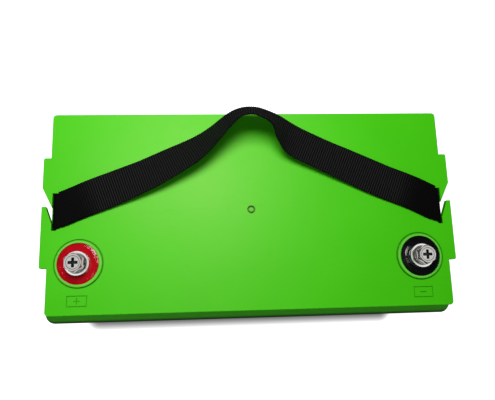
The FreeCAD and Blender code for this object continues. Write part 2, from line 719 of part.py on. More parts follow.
def strap_stitching(side):
    """The thread rectangle that holds the folded strap end to itself, inside the recess."""
    slit_centre = (SLIT_INNER + SLIT_OUTER) / 2
    face = slit_centre + STRAP_THICKNESS / 2
    loop_top = LID_TOP - CROSS_BAR_BELOW_TOP + CROSS_BAR_DIAMETER / 2 + STRAP_THICKNESS
    bottom = loop_top + STITCH_MARGIN
    top = PLATE_BOTTOM - STITCH_MARGIN
    half_width = STRAP_WIDTH / 2 - STITCH_INSET
    outside = box(face, face + STITCH_THICKNESS, -half_width, half_width, bottom, top)
    inside = box(face, face + STITCH_THICKNESS, STITCH_WIDTH - half_width,
                 half_width - STITCH_WIDTH, bottom + STITCH_WIDTH, top - STITCH_WIDTH)
    thread = outside.cut(inside)
    return thread if side > 0 else mirrored(thread)


def cell_x(index):
    return (index - (CELL_COUNT - 1) / 2) * CELL_PITCH


def cell(index):
    x = cell_x(index)
    half_length = CELL_LENGTH / 2
    half_thickness = CELL_THICKNESS / 2
    body = box(x - half_thickness, x + half_thickness, -half_length, half_length,
               CELL_BOTTOM, CELL_TOP)
    upright = []
    for edge in body.Edges:
        if abs(edge.Vertexes[0].Z - edge.Vertexes[1].Z) > TOLERANCE:
            upright.append(edge)
    return body.makeFillet(CELL_EDGE_RADIUS, upright)


def cell_terminals():
    """A pad and a stud at each end of each cell."""
    posts = []
    for index in range(CELL_COUNT):
        for y in (-POST_OFFSET, POST_OFFSET):
            pad = cylinder(cell_x(index), y, CELL_TOP, POST_TOP, POST_DIAMETER)
            stud = cylinder(cell_x(index), y, POST_TOP, POST_TOP + STUD_HEIGHT, STUD_DIAMETER)
            posts.append(pad.fuse(stud))
    return posts


def cell_vents():
    vents = []
    for index in range(CELL_COUNT):
        x = cell_x(index)
        vents.append(box(x - VENT_WIDTH / 2, x + VENT_WIDTH / 2, -VENT_LENGTH / 2, VENT_LENGTH / 2,
                         CELL_TOP, CELL_TOP + VENT_HEIGHT))
    return vents


def cell_insulators():
    sheets = []
    for index in range(CELL_COUNT - 1):
        x = cell_x(index) + CELL_THICKNESS / 2
        sheets.append(box(x, x + INSULATOR_THICKNESS, -CELL_LENGTH / 2, CELL_LENGTH / 2,
                          CELL_BOTTOM, CELL_TOP))
    return sheets


def end_plates():
    plates = []
    for side in (-1, 1):
        face = side * STACK_LENGTH / 2
        plates.append(box(face, face + side * END_PLATE_THICKNESS, -CELL_LENGTH / 2, CELL_LENGTH / 2,
                          CELL_BOTTOM, CELL_TOP))
    return plates


def stack_bands():
    """Bands that hold the cells and end plates together."""
    half_length = STACK_LENGTH / 2 + END_PLATE_THICKNESS
    half_width = CELL_LENGTH / 2
    bands = []
    for height in BAND_HEIGHTS:
        z0 = CELL_BOTTOM + height - BAND_WIDTH / 2
        z1 = z0 + BAND_WIDTH
        outer = box(-half_length - BAND_THICKNESS, half_length + BAND_THICKNESS,
                    -half_width - BAND_THICKNESS, half_width + BAND_THICKNESS, z0, z1)
        bands.append(outer.cut(box(-half_length, half_length, -half_width, half_width, z0, z1)))
    return bands


def foam_block(side):
    """Packing foam between the cell stack and the end of the container."""
    near = side * (STACK_LENGTH / 2 + END_PLATE_THICKNESS + BAND_THICKNESS + FOAM_CLEARANCE)
    far = side * (CASE_LENGTH / 2 - CONTAINER_INSET - WALL - FOAM_END_CLEARANCE)
    half_width = CELL_LENGTH / 2
    return box(near, far, -half_width, half_width, FLOOR, FOAM_TOP)


def base_pad():
    """The mat between the cell stack and the container's floor."""
    half_length = STACK_LENGTH / 2 + END_PLATE_THICKNESS
    half_width = CELL_LENGTH / 2
    return box(-half_length, half_length, -half_width, half_width, FLOOR, CELL_BOTTOM)


def busbar(index):
    """A copper link between two neighbouring cells."""
    y = POST_OFFSET if index % 2 == 0 else -POST_OFFSET
    x0 = cell_x(index)
    x1 = cell_x(index + 1)
    half_width = BUSBAR_WIDTH / 2
    bar = box(x0 - half_width, x1 + half_width, y - half_width, y + half_width, POST_TOP, BUSBAR_TOP)
    holes = [cylinder(x, y, POST_TOP, BUSBAR_TOP, BUSBAR_HOLE) for x in (x0, x1)]
    return bar.cut(holes)


def busbar_nuts():
    nuts = []
    for index in range(CELL_COUNT):
        for y in (-POST_OFFSET, POST_OFFSET):
            x = cell_x(index)
            body = hexagon(x, y, BUSBAR_TOP, BUSBAR_TOP + NUT_HEIGHT, NUT_FLATS)
            nuts.append(body.cut(cylinder(x, y, BUSBAR_TOP, BUSBAR_TOP + NUT_HEIGHT, NUT_HOLE)))
    return nuts


def lug(x, y, z, direction, barrel_side):
    """A ring lug whose palm starts at height z; its barrel lies above or below the palm."""
    heading = Vector(direction[0], direction[1], 0)
    palm = cylinder(x, y, z, z + LUG_THICKNESS, LUG_DIAMETER)
    centre = Vector(x, y, z)
    aside = Vector(-heading.y, heading.x, 0) * (BARREL_DIAMETER / 2)
    reach = heading * (BARREL_START + BARREL_STOP)
    corners = [centre + aside, centre - aside, centre - aside + reach, centre + aside + reach]
    bridge = polygon_prism([(corner.x, corner.y) for corner in corners], z, z + LUG_THICKNESS)
    axis_z = lug_barrel_height(z, barrel_side)
    start = Vector(x, y, axis_z) + heading * BARREL_START
    barrel = Part.makeCylinder(BARREL_DIAMETER / 2, BARREL_END - BARREL_START, start, heading)
    bore_start = start + heading * BARREL_STOP
    bore = Part.makeCylinder(LEAD_DIAMETER / 2 + RUNNING_GAP, BARREL_END, bore_start, heading)
    hole = cylinder(x, y, z, z + LUG_THICKNESS, BUSBAR_HOLE)
    return palm.fuse([bridge, barrel]).cut([bore, hole])


def lug_barrel_height(z, barrel_side):
    if barrel_side > 0:
        return z + BARREL_DIAMETER / 2
    return z + LUG_THICKNESS - BARREL_DIAMETER / 2


def inner_bolt(x):
    """The bolt that clamps a lead's lug under a terminal insert."""
    palm_bottom = INSERT_BOTTOM - LUG_THICKNESS
    head = hexagon(x, TERMINAL_Y, palm_bottom - INNER_BOLT_HEAD, palm_bottom, NUT_FLATS)
    shank = cylinder(x, TERMINAL_Y, palm_bottom, INSERT_BOTTOM + INNER_BOLT_REACH, STUD_DIAMETER)
    return head.fuse(shank)


def board_screw_places():
    xs = (BOARD_LEFT + BOARD_SCREW_INSET, BOARD_RIGHT - BOARD_SCREW_INSET)
    y = BOARD_HALF_WIDTH - BOARD_SCREW_INSET
    return [(x, side * y) for x in xs for side in (-1, 1)]


def tray():
    """The plastic tray on four legs that carries the protection board over the cells."""
    top = TRAY_BOTTOM + TRAY_THICKNESS
    plate = box(TRAY_LEFT, TRAY_RIGHT, -TRAY_HALF_WIDTH, TRAY_HALF_WIDTH, TRAY_BOTTOM, top)
    legs = []
    for x in (TRAY_LEFT + TRAY_LEG_INSET, TRAY_RIGHT - TRAY_LEG_INSET):
        for y in (TRAY_LEG_INSET - TRAY_HALF_WIDTH, TRAY_HALF_WIDTH - TRAY_LEG_INSET):
            half = TRAY_LEG / 2
            legs.append(box(x - half, x + half, y - half, y + half, CELL_TOP, TRAY_BOTTOM))
    return plate.fuse(legs)


def board():
    plate = box(BOARD_LEFT, BOARD_RIGHT, -BOARD_HALF_WIDTH, BOARD_HALF_WIDTH, BOARD_BOTTOM, BOARD_TOP)
    holes = [cylinder(x, y, BOARD_BOTTOM, BOARD_TOP, SCREW_HOLE) for x, y in board_screw_places()]
    return plate.cut(holes)


def standoffs():
    bottom = BOARD_BOTTOM - STANDOFF_HEIGHT
    pillars = []
    for x, y in board_screw_places():
        pillars.append(ring(x, y, bottom, BOARD_BOTTOM, STANDOFF_DIAMETER, SCREW_HOLE))
    return pillars


def board_screws():
    screws = []
    for x, y in board_screw_places():
        head = cylinder(x, y, BOARD_TOP, BOARD_TOP + SCREW_HEAD_HEIGHT, SCREW_HEAD_DIAMETER)
        shank = cylinder(x, y, BOARD_TOP - SCREW_LENGTH, BOARD_TOP, SCREW_DIAMETER)
        screws.append(head.fuse(shank))
    return screws


def transistors():
    bodies = []
    for row in (-1, 1):
        y = row * TRANSISTOR_ROW_Y
        for index in range(TRANSISTOR_COUNT):
            x = TRANSISTOR_FIRST_X + index * TRANSISTOR_PITCH - TRANSISTOR_LENGTH / 2
            bodies.append(box(x, x + TRANSISTOR_LENGTH, y - TRANSISTOR_WIDTH / 2,
                              y + TRANSISTOR_WIDTH / 2, BOARD_TOP, HEATSINK_BOTTOM))
    return bodies


def heatsink():
    """Finned aluminium plate on the power transistors."""
    left = TRANSISTOR_FIRST_X - TRANSISTOR_PITCH / 2
    right = left + HEATSINK_LENGTH
    fin_bottom = HEATSINK_BOTTOM + HEATSINK_BASE
    plate = box(left, right, -HEATSINK_HALF_WIDTH, HEATSINK_HALF_WIDTH, HEATSINK_BOTTOM, fin_bottom)
    pitch = (2 * HEATSINK_HALF_WIDTH - HEATSINK_FIN_THICKNESS) / (HEATSINK_FIN_COUNT - 1)
    fin_top = fin_bottom + HEATSINK_FIN_HEIGHT
    fins = []
    for index in range(HEATSINK_FIN_COUNT):
        y = -HEATSINK_HALF_WIDTH + index * pitch
        fins.append(box(left, right, y, y + HEATSINK_FIN_THICKNESS, fin_bottom, fin_top))
    return plate.fuse(fins)


def shunts():
    """Current sensing links: low bridges of resistance wire."""
    bridges = []
    for index in range(SHUNT_COUNT):
        y = (index - (SHUNT_COUNT - 1) / 2) * SHUNT_PITCH - SHUNT_WIRE / 2
        x0 = SHUNT_X - SHUNT_SPAN / 2
        x1 = SHUNT_X + SHUNT_SPAN / 2
        top = BOARD_TOP + SHUNT_HEIGHT
        outer = box(x0, x1, y, y + SHUNT_WIRE, BOARD_TOP, top)
        inner = box(x0 + SHUNT_WIRE, x1 - SHUNT_WIRE, y, y + SHUNT_WIRE,
                    BOARD_TOP, top - SHUNT_WIRE)
        bridges.append(outer.cut(inner))
    return bridges


def lead_block(y):
    """A brass block on the board that clamps a power lead."""
    x0 = BOARD_RIGHT - BLOCK_LENGTH - BLOCK_EDGE_GAP
    block = box(x0, x0 + BLOCK_LENGTH, y - BLOCK_WIDTH / 2, y + BLOCK_WIDTH / 2,
                BOARD_TOP, BOARD_TOP + BLOCK_HEIGHT)
    start = Vector(x0 + BLOCK_STOP, y, BLOCK_CENTRE)
    bore = Part.makeCylinder(LEAD_DIAMETER / 2 + RUNNING_GAP, BLOCK_LENGTH, start, Vector(1, 0, 0))
    return block.cut(bore)


def connector():
    return box(BOARD_LEFT, BOARD_LEFT + CONNECTOR_LENGTH, -CONNECTOR_HALF_WIDTH, CONNECTOR_HALF_WIDTH,
               BOARD_TOP, BOARD_TOP + CONNECTOR_HEIGHT)


def positive_lead():
    """From the first cell's stud, round the left end of the tray, to the positive insert."""
    x = cell_x(0)
    z = lug_barrel_height(POST_TOP, 1)
    end_z = lug_barrel_height(INSERT_BOTTOM - LUG_THICKNESS, -1)
    route = ((x, LEAD_START - POST_OFFSET, z), (x, -10, z), (x - 12, 15, 149), (-114, 22, 166),
             (-TERMINAL_X, 6, end_z), (-TERMINAL_X, TERMINAL_Y + LEAD_START, end_z))
    return tube("positive_lead", route, LEAD_DIAMETER)


def battery_negative_lead():
    """From the last cell's stud to the protection board."""
    x = cell_x(CELL_COUNT - 1)
    z = lug_barrel_height(POST_TOP, 1)
    route = ((x, LEAD_START - POST_OFFSET, z), (x, -14, z), (x - 3, 4, 146),
             (60, BLOCK_OFFSET, BLOCK_CENTRE), (36, BLOCK_OFFSET, BLOCK_CENTRE))
    return tube("battery_negative_lead", route, LEAD_DIAMETER)


def load_negative_lead():
    """From the protection board to the negative insert."""
    end_z = lug_barrel_height(INSERT_BOTTOM - LUG_THICKNESS, -1)
    route = ((36, -BLOCK_OFFSET, BLOCK_CENTRE), (60, -BLOCK_OFFSET, BLOCK_CENTRE),
             (81, -31, 173), (99, TERMINAL_Y, end_z), (TERMINAL_X - LEAD_START, TERMINAL_Y, end_z))
    return tube("load_negative_lead", route, LEAD_DIAMETER)


def sense_wires():
    """Thin wires from the connector to each cell joint, beside the tray."""
    x = BOARD_LEFT
    z = BOARD_TOP + CONNECTOR_HEIGHT / 2
    on_bar = BUSBAR_TOP + SENSE_WIRE_DIAMETER / 2 + WIRE_CLEARANCE
    routes = (
        ((x, 7, z), (x - 13, 7, z), (-72, 26, 148), (-68, 42, 139), (-55, 50, on_bar)),
        ((x, 4, z), (x - 14, 4, z), (-76, 22, 145), (-69, 41, 138), (-48, 43, 137),
         (0, 43.5, 138), (32, 43, 137), (46, 48, on_bar)),
        ((x, -4, z), (x - 13, -4, z), (-76, -22, 148), (-67, -42, 140), (-40, -43.5, 137),
         (-12, -49, on_bar)),
        ((x, -7, z), (x - 12, -7, z), (-72, -24, 148), (-67, -40, 139), (-69.8, -50.9, on_bar)),
    )
    wires = []
    for number, route in enumerate(routes):
        wires.append(tube("sense_wire_%d" % number, route, SENSE_WIRE_DIAMETER))
    return wires


def temperature_probe():
    """A bead on the second cell with its wire to the connector."""
    z = CELL_TOP + PROBE_DIAMETER / 2 + WIRE_CLEARANCE
    bead_end = Vector(-16, 24, z)
    bead = Part.makeCylinder(PROBE_DIAMETER / 2, PROBE_LENGTH, bead_end, Vector(1, 0, 0))
    route = ((-15, 24, z), (-32, 25, z + 1), (-52, 25, 134), (-69, 20, 143), (-73, 0, 155.6),
             (BOARD_LEFT, 0, BOARD_TOP + CONNECTOR_HEIGHT / 2))
    return bead.fuse(tube("temperature_probe", route, SENSE_WIRE_DIAMETER))


# Case.
save("container", container())
save("lid", lid())
save("lid_seal", lid_seal())

# Terminals.
for terminal, terminal_x in (("positive", -TERMINAL_X), ("negative", TERMINAL_X)):
    save(terminal + "_insert", terminal_insert(terminal_x))
    save(terminal + "_sealant", sealant(terminal_x))
    save(terminal + "_flat_washer", flat_washer(terminal_x))
    save(terminal + "_spring_washer", spring_washer(terminal_x))
    save(terminal + "_bolt", terminal_bolt(terminal_x))
    save(terminal + "_inner_bolt", inner_bolt(terminal_x))

# Strap.
save("strap_span", strap_span())
for end, side in (("left", -1), ("right", 1)):
    save("strap_" + end + "_tail", strap_tail(side))
    save(end + "_cross_bar", cross_bar(side))
    save(end + "_stitching", strap_stitching(side))
    save(end + "_foam_block", foam_block(side))

# Cell stack.
for number in range(CELL_COUNT):
    save("cell_%d" % (number + 1), cell(number))
save("cell_terminals", *cell_terminals())
save("cell_vents", *cell_vents())
save("cell_insulators", *cell_insulators())
save("stack_end_plates", *end_plates())
save("stack_bands", *stack_bands())
save("base_pad", base_pad())
save("cell_busbars", *[busbar(number) for number in range(CELL_COUNT - 1)])
save("busbar_nuts", *busbar_nuts())

# Protection board.
save("board_tray", tray())
save("protection_board", board())
save("board_standoffs", *standoffs())
save("board_screws", *board_screws())
save("power_transistors", *transistors())
save("heatsink", heatsink())
save("current_shunts", *shunts())
save("lead_blocks", lead_block(-BLOCK_OFFSET), lead_block(BLOCK_OFFSET))
save("sense_connector", connector())

# Leads.
save("positive_lead", positive_lead())
save("battery_negative_lead", battery_negative_lead())
save("load_negative_lead", load_negative_lead())
save("positive_cell_lug", lug(cell_x(0), -POST_OFFSET, POST_TOP, (0, 1), 1))
save("positive_terminal_lug",
     lug(-TERMINAL_X, TERMINAL_Y, INSERT_BOTTOM - LUG_THICKNESS, (0, 1), -1))
save("negative_cell_lug", lug(cell_x(CELL_COUNT - 1), -POST_OFFSET, POST_TOP, (0, 1), 1))
save("negative_terminal_lug",
     lug(TERMINAL_X, TERMINAL_Y, INSERT_BOTTOM - LUG_THICKNESS, (-1, 0), -1))
save("sense_wires", *sense_wires())
save("temperature_probe", temperature_probe())
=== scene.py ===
import json
import math

import bmesh
import bpy
import numpy as np
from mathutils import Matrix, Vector

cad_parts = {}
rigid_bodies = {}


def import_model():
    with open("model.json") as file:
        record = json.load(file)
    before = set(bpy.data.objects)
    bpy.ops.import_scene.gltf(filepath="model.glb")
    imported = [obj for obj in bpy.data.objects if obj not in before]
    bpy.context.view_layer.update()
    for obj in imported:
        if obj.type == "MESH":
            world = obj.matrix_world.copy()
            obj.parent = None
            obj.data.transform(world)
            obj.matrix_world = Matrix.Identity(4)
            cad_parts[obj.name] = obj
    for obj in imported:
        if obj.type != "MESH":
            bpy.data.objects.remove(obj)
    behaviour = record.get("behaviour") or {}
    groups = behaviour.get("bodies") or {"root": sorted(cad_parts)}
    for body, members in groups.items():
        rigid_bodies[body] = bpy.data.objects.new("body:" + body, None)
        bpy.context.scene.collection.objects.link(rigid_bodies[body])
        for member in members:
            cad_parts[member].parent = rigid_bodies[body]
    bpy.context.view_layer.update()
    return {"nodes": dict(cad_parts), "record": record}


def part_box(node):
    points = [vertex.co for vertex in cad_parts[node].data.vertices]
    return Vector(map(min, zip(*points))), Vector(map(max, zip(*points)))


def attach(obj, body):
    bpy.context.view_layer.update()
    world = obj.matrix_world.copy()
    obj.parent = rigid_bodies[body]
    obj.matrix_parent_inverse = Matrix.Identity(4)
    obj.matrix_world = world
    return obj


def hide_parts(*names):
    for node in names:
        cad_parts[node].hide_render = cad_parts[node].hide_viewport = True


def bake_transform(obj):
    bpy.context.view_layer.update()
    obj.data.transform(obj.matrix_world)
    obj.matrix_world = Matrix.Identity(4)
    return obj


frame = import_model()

# A battery pack's looks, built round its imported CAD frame. Lengths are in metres.
NODES = frame["nodes"]
MM = 0.001

# Levels and centres that the materials and the pieces share.
LIP_HEIGHT = 0.9 * MM
LID_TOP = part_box("lid")[1].z - LIP_HEIGHT
RIM_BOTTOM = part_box("lid_seal")[1].z
HEAD_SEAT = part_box("positive_spring_washer")[1].z
BOLT_LOW, BOLT_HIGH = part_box("positive_bolt")
TERMINAL_X = abs(BOLT_LOW.x + BOLT_HIGH.x) / 2
TERMINAL_Y = (BOLT_LOW.y + BOLT_HIGH.y) / 2
LIP_X = TERMINAL_X - 0.4 * MM

# ---------------------------------------------------------------- camera
# Its place in metres, its turn in degrees, and its focal length and sensor in millimetres.
CAMERA_PLACE = (-0.02871, -0.06960, 0.61287)
CAMERA_TURN = (10.978, -3.415, -1.593)
CAMERA_LENS = 36.63
CAMERA_SENSOR = 36.0

camera_data = bpy.data.cameras.new("camera")
camera_data.sensor_width = CAMERA_SENSOR
camera_data.lens = CAMERA_LENS
camera = bpy.data.objects.new("camera", camera_data)
camera.location = CAMERA_PLACE
camera.rotation_euler = [math.radians(angle) for angle in CAMERA_TURN]
bpy.context.scene.collection.objects.link(camera)
bpy.context.scene.camera = camera
bpy.context.scene.view_settings.view_transform = "Standard"


# ---------------------------------------------------------------- material helpers
def add(tree, kind, settings=None, **inputs):
    """A shader node with its settings and inputs; an underscore in a name is a space."""
    made = tree.nodes.new("ShaderNode" + kind)
    for key, value in (settings or {}).items():
        setattr(made, key, value)
    for key, value in inputs.items():
        wire(tree, made, key.replace("_", " "), value)
    return made


def wire(tree, target, name, value):
    """Joins a socket to the target's named input, or sets the input to a plain value."""
    socket = target.inputs[name]
    if isinstance(value, bpy.types.NodeSocket):
        tree.links.new(value, socket)
    else:
        socket.default_value = value


def math_node(tree, operation, *values):
    """The result of one Math node."""
    made = tree.nodes.new("ShaderNodeMath")
    made.operation = operation
    for index, value in enumerate(values):
        wire(tree, made, index, value)
    return made.outputs[0]


def product(tree, first, second):
    """Two values multiplied, each a socket or a number."""
    return math_node(tree, "MULTIPLY", first, second)


def noise(tree, vector, scale, detail=2.0, roughness=0.5, distortion=0.0):
    """Fractal noise from 0 to 1; the scale is in features per metre."""
    return add(tree, "TexNoise", Vector=vector, Scale=scale, Detail=detail, Roughness=roughness,
               Distortion=distortion).outputs["Fac"]


def remap(tree, value, low, high, new_low, new_high):
    """Takes low..high to new_low..new_high, held at both ends."""
    made = tree.nodes.new("ShaderNodeMapRange")
    for index, entry in enumerate((value, low, high, new_low, new_high)):
        wire(tree, made, index, entry)
    return made.outputs[0]


def blend_colour(tree, share, first, second):
    """The first colour where the share is 0 and the second where it is 1."""
    made = tree.nodes.new("ShaderNodeMix")
    made.data_type = "RGBA"
    wire(tree, made, 0, share)
    wire(tree, made, 6, first)
    wire(tree, made, 7, second)
    return made.outputs[2]


def stretched(tree, vector, scale):
    """Coordinates scaled along each axis, for noise that runs in one direction."""
    return add(tree, "Mapping", Vector=vector, Scale=scale).outputs[0]


def shader(name):
    """A new material: its node tree, its Principled shader and its object coordinates."""
    material = bpy.data.materials.new(name)
    material.use_nodes = True
    tree = material.node_tree
    surface = tree.nodes["Principled BSDF"]
    place = add(tree, "TexCoord").outputs["Object"]
    return material, tree, surface, place


def rgba(colour, gain=1.0):
    """A colour of three channels, made brighter or darker, with an alpha of 1."""
    return tuple(channel * gain for channel in colour) + (1.0,)


def bump(tree, surface, *layers):
    """Chains bump layers, each a height socket, a strength and a distance, on to the shader."""
    normal = None
    for height, strength, distance in layers:
        made = add(tree, "Bump", Height=height, Strength=strength, Distance=distance)
        if normal is not None:
            tree.links.new(normal, made.inputs["Normal"])
        normal = made.outputs[0]
    tree.links.new(normal, surface.inputs["Normal"])


# The lid's painted light and shade: the colour of the painted highlight on the lips, and how much of the
# lid's own colour is left in the painted shade of its hollows and of the joint above its rim.
LIP_HIGHLIGHT = (0.22, 0.70, 0.11)
SHADED = 0.30
JOINT_SHADED = 0.10


def band(tree, value, rise_from, rise_to, fall_from, fall_to):
    """1 between rise_to and fall_from, fading to 0 outside; all in millimetres."""
    rise = remap(tree, value, rise_from * MM, rise_to * MM, 0.0, 1.0)
    fall = remap(tree, value, fall_from * MM, fall_to * MM, 1.0, 0.0)
    return product(tree, rise, fall)


def terminal_radius(tree, axes, x, y):
    """The distance from the nearer of two upright axes, at x and -x."""
    beside = math_node(tree, "SUBTRACT", math_node(tree, "ABSOLUTE", axes["X"]), x)
    before = math_node(tree, "SUBTRACT", axes["Y"], y)
    squares = [math_node(tree, "POWER", side, 2.0) for side in (beside, before)]
    return math_node(tree, "SQRT", math_node(tree, "ADD", *squares))


def lid_light_and_shade(tree, place, paint, colour):
    """Painted highlights on the lips round the terminals, and painted shade in the lid's hollows and
    along its joint.
    """
    axes = add(tree, "SeparateXYZ", Vector=place).outputs
    radius = terminal_radius(tree, axes, LIP_X, TERMINAL_Y)
    depth = math_node(tree, "SUBTRACT", LID_TOP, axes["Z"])

    # Painted highlight: a patchy pale ring on the top of each lip round the terminals.
    painted_lid_light = remap(tree, noise(tree, place, 240.0, 2.0), 0.3, 0.6, 0.45, 0.9)
    above = remap(tree, axes["Z"], LID_TOP, LID_TOP + 0.3 * MM, 0.0, 1.0)
    lip_highlight = product(tree, band(tree, radius, 16.15, 16.6, 16.9, 17.7), product(tree, painted_lid_light, above))

    # Painted shade in the grooves, marks and gate mark, darker the deeper they are.
    deepness = remap(tree, depth, 0.95 * MM, 1.5 * MM, 0.3, 1.0)
    hollow_shade = product(tree, band(tree, depth, 0.15, 0.5, 2.0, 3.2), deepness)
    # Painted shade also lies at the foot of each lip, on the lid's top.
    near_top = product(tree, band(tree, depth, -1.0, -0.9, 2.0, 3.0), 0.7)
    foot = product(tree, band(tree, radius, 17.6, 18.4, 18.8, 19.6), near_top)
    # Painted shade: a dark band on the lid just above its rim, along the joint.
    over_rim = math_node(tree, "SUBTRACT", axes["Z"], RIM_BOTTOM)
    joint_shade = band(tree, over_rim, -0.3, 0.0, 5.0, 9.5)

    paint = blend_colour(tree, lip_highlight, paint, rgba(LIP_HIGHLIGHT))
    recess_shade = math_node(tree, "MAXIMUM", hollow_shade, foot)
    paint = blend_colour(tree, recess_shade, paint, rgba(colour, SHADED))
    return blend_colour(tree, joint_shade, paint, rgba(colour, JOINT_SHADED))


def moulded_plastic(name, colour, roughness, grain, specular=0.5, cloud=0.06,
                    tint=(1.0, 1.0, 1.0), painted_lid_light=False):
    """Injection moulded plastic: faint flow clouds, a fine eroded grain and hair scratches."""
    material, tree, surface, place = shader(name)
    clouds = noise(tree, place, 14.0, 3.0)
    specks = noise(tree, place, 900.0, 2.0)
    mixed = math_node(tree, "ADD", product(tree, clouds, 0.8), product(tree, specks, 0.2))
    tone = remap(tree, mixed, 0.3, 0.7, 0.0, 1.0)
    paint = blend_colour(tree, tone, rgba(colour, 1 - cloud), rgba(colour, 1 + cloud))
    # On the lid, add its painted highlights and painted shade.
    if painted_lid_light:
        paint = lid_light_and_shade(tree, place, paint, colour)
    tree.links.new(paint, surface.inputs["Base Color"])
    scratch_place = stretched(tree, place, (90.0, 1400.0, 90.0))
    scratches = noise(tree, scratch_place, 1.0, 1.0, 0.4, 0.3)
    lines = remap(tree, scratches, 0.68, 0.74, 0.0, 1.0)
    shine = remap(tree, clouds, 0.3, 0.7, roughness - 0.03, roughness + 0.03)
    shine = math_node(tree, "ADD", shine, product(tree, lines, 0.08))
    tree.links.new(shine, surface.inputs["Roughness"])
    surface.inputs["Specular IOR Level"].default_value = specular
    surface.inputs["Specular Tint"].default_value = rgba(tint)
    grains = noise(tree, place, 2600.0, 1.0)
    waves = noise(tree, place, 120.0, 1.0)
    bump(tree, surface, (grains, grain * 10, 0.00002), (waves, 0.05, 0.0002), (lines, 0.04, 0.00001))
    return material


# How much of a metal's own colour is left in its painted shade, and the colour of the painted highlight
# on a washer's rim.
METAL_SHADED = 0.07
RIM_HIGHLIGHT = (0.98, 0.97, 0.95)


def washer_light_and_shade(tree, place, paint, painted_shade, stains, under_head_shade):
    """Patchy painted shade on the washers under a bolt's head, and a painted highlight on the rim
    outside it.
    """
    axes = add(tree, "SeparateXYZ", Vector=place).outputs
    radius = terminal_radius(tree, axes, TERMINAL_X, TERMINAL_Y)
    low = remap(tree, axes["Z"], HEAD_SEAT - 0.3 * MM, HEAD_SEAT + 0.3 * MM, 1.0, 0.0)
    inner = product(tree, low, remap(tree, radius, 7.6 * MM, 8.2 * MM, under_head_shade, 0.0))
    outer = product(tree, low, remap(tree, radius, 7.9 * MM, 8.3 * MM, 0.0, 1.0))
    # Painted highlight on the washers' rim outside the head, and patchy painted shade under it.
    paint = blend_colour(tree, outer, paint, rgba(RIM_HIGHLIGHT))
    patchy_shade = product(tree, inner, remap(tree, stains, 0.35, 0.6, 0.3, 1.3))
    return paint, math_node(tree, "MAXIMUM", painted_shade, patchy_shade)


def plated_metal(name, colour, roughness, brushed=(1.0, 1.0, 1.0), tarnish=0.12, under_head_shade=0.0):
    """Plated or bare metal: fine brushing, dull patches, darker stains, and painted shade in recesses.
    """
    material, tree, surface, place = shader(name)
    surface.inputs["Metallic"].default_value = 1.0
    stains = noise(tree, place, 260.0, 4.0, 0.6)
    tone = remap(tree, stains, 0.35, 0.7, 0.0, 1.0)
    paint = blend_colour(tree, tone, rgba(colour), rgba(colour, 1 - tarnish))
    # A per-vertex attribute darkens recesses as painted shade.
    painted_shade = add(tree, "Attribute", {"attribute_name": "painted_shade"}).outputs["Fac"]
    if under_head_shade:
        paint, painted_shade = washer_light_and_shade(tree, place, paint, painted_shade, stains, under_head_shade)
    paint = blend_colour(tree, painted_shade, paint, rgba(colour, METAL_SHADED))
    tree.links.new(paint, surface.inputs["Base Color"])
    lines = noise(tree, stretched(tree, place, brushed), 2200.0, 2.0)
    dull = math_node(tree, "ADD", product(tree, tone, 0.04), product(tree, painted_shade, 0.3))
    shine = remap(tree, lines, 0.3, 0.7, roughness - 0.03, roughness + 0.03)
    tree.links.new(math_node(tree, "ADD", shine, dull), surface.inputs["Roughness"])
    bump(tree, surface, (lines, 0.10, 0.00002), (stains, 0.04, 0.0001))
    return material


def soft_rubber(name, colour, roughness):
    """Rubber or a cable's soft sheath: patches of dust over a matt, uneven skin."""
    material, tree, surface, place = shader(name)
    dust = noise(tree, place, 60.0, 5.0, 0.65)
    tone = remap(tree, dust, 0.4, 0.75, 0.0, 0.5)
    dusty = [0.6 * channel + 0.05 for channel in colour]
    paint = blend_colour(tree, tone, rgba(colour), rgba(dusty))
    tree.links.new(paint, surface.inputs["Base Color"])
    skin = noise(tree, place, 700.0, 3.0)
    shine = remap(tree, skin, 0.3, 0.7, roughness - 0.08, roughness + 0.08)
    tree.links.new(shine, surface.inputs["Roughness"])
    bump(tree, surface, (skin, 0.25, 0.00004))
    return material


def foam(name, colour):
    """Closed-cell foam: round pores of several sizes."""
    material, tree, surface, place = shader(name)
    pores = add(tree, "TexVoronoi", Vector=place, Scale=700.0).outputs["Distance"]
    large = add(tree, "TexVoronoi", Vector=place, Scale=230.0).outputs["Distance"]
    tone = remap(tree, math_node(tree, "ADD", pores, large), 0.2, 1.2, 0.0, 1.0)
    paint = blend_colour(tree, tone, rgba(colour, 0.6), rgba(colour, 1.5))
    tree.links.new(paint, surface.inputs["Base Color"])
    surface.inputs["Roughness"].default_value = 0.95
    bump(tree, surface, (pores, 0.5, 0.0003), (large, 0.4, 0.0006))
    return material


def shrink_wrap(name, colour):
    """Thin film over a cell: fine wrinkles, small bubbles and a soft gloss."""
    material, tree, surface, place = shader(name)
    wrinkles = noise(tree, stretched(tree, place, (60.0, 60.0, 14.0)), 1.0, 3.0, 0.5, 1.5)
    bubbles = add(tree, "TexVoronoi", Vector=place, Scale=160.0).outputs["Distance"]
    dots = remap(tree, bubbles, 0.04, 0.08, 1.0, 0.0)
    paint = blend_colour(tree, wrinkles, rgba(colour, 0.85), rgba(colour, 1.2))
    tree.links.new(paint, surface.inputs["Base Color"])
    tree.links.new(remap(tree, wrinkles, 0.2, 0.8, 0.2, 0.36), surface.inputs["Roughness"])
    bump(tree, surface, (wrinkles, 0.3, 0.0004), (dots, 0.2, 0.0001))
    return material


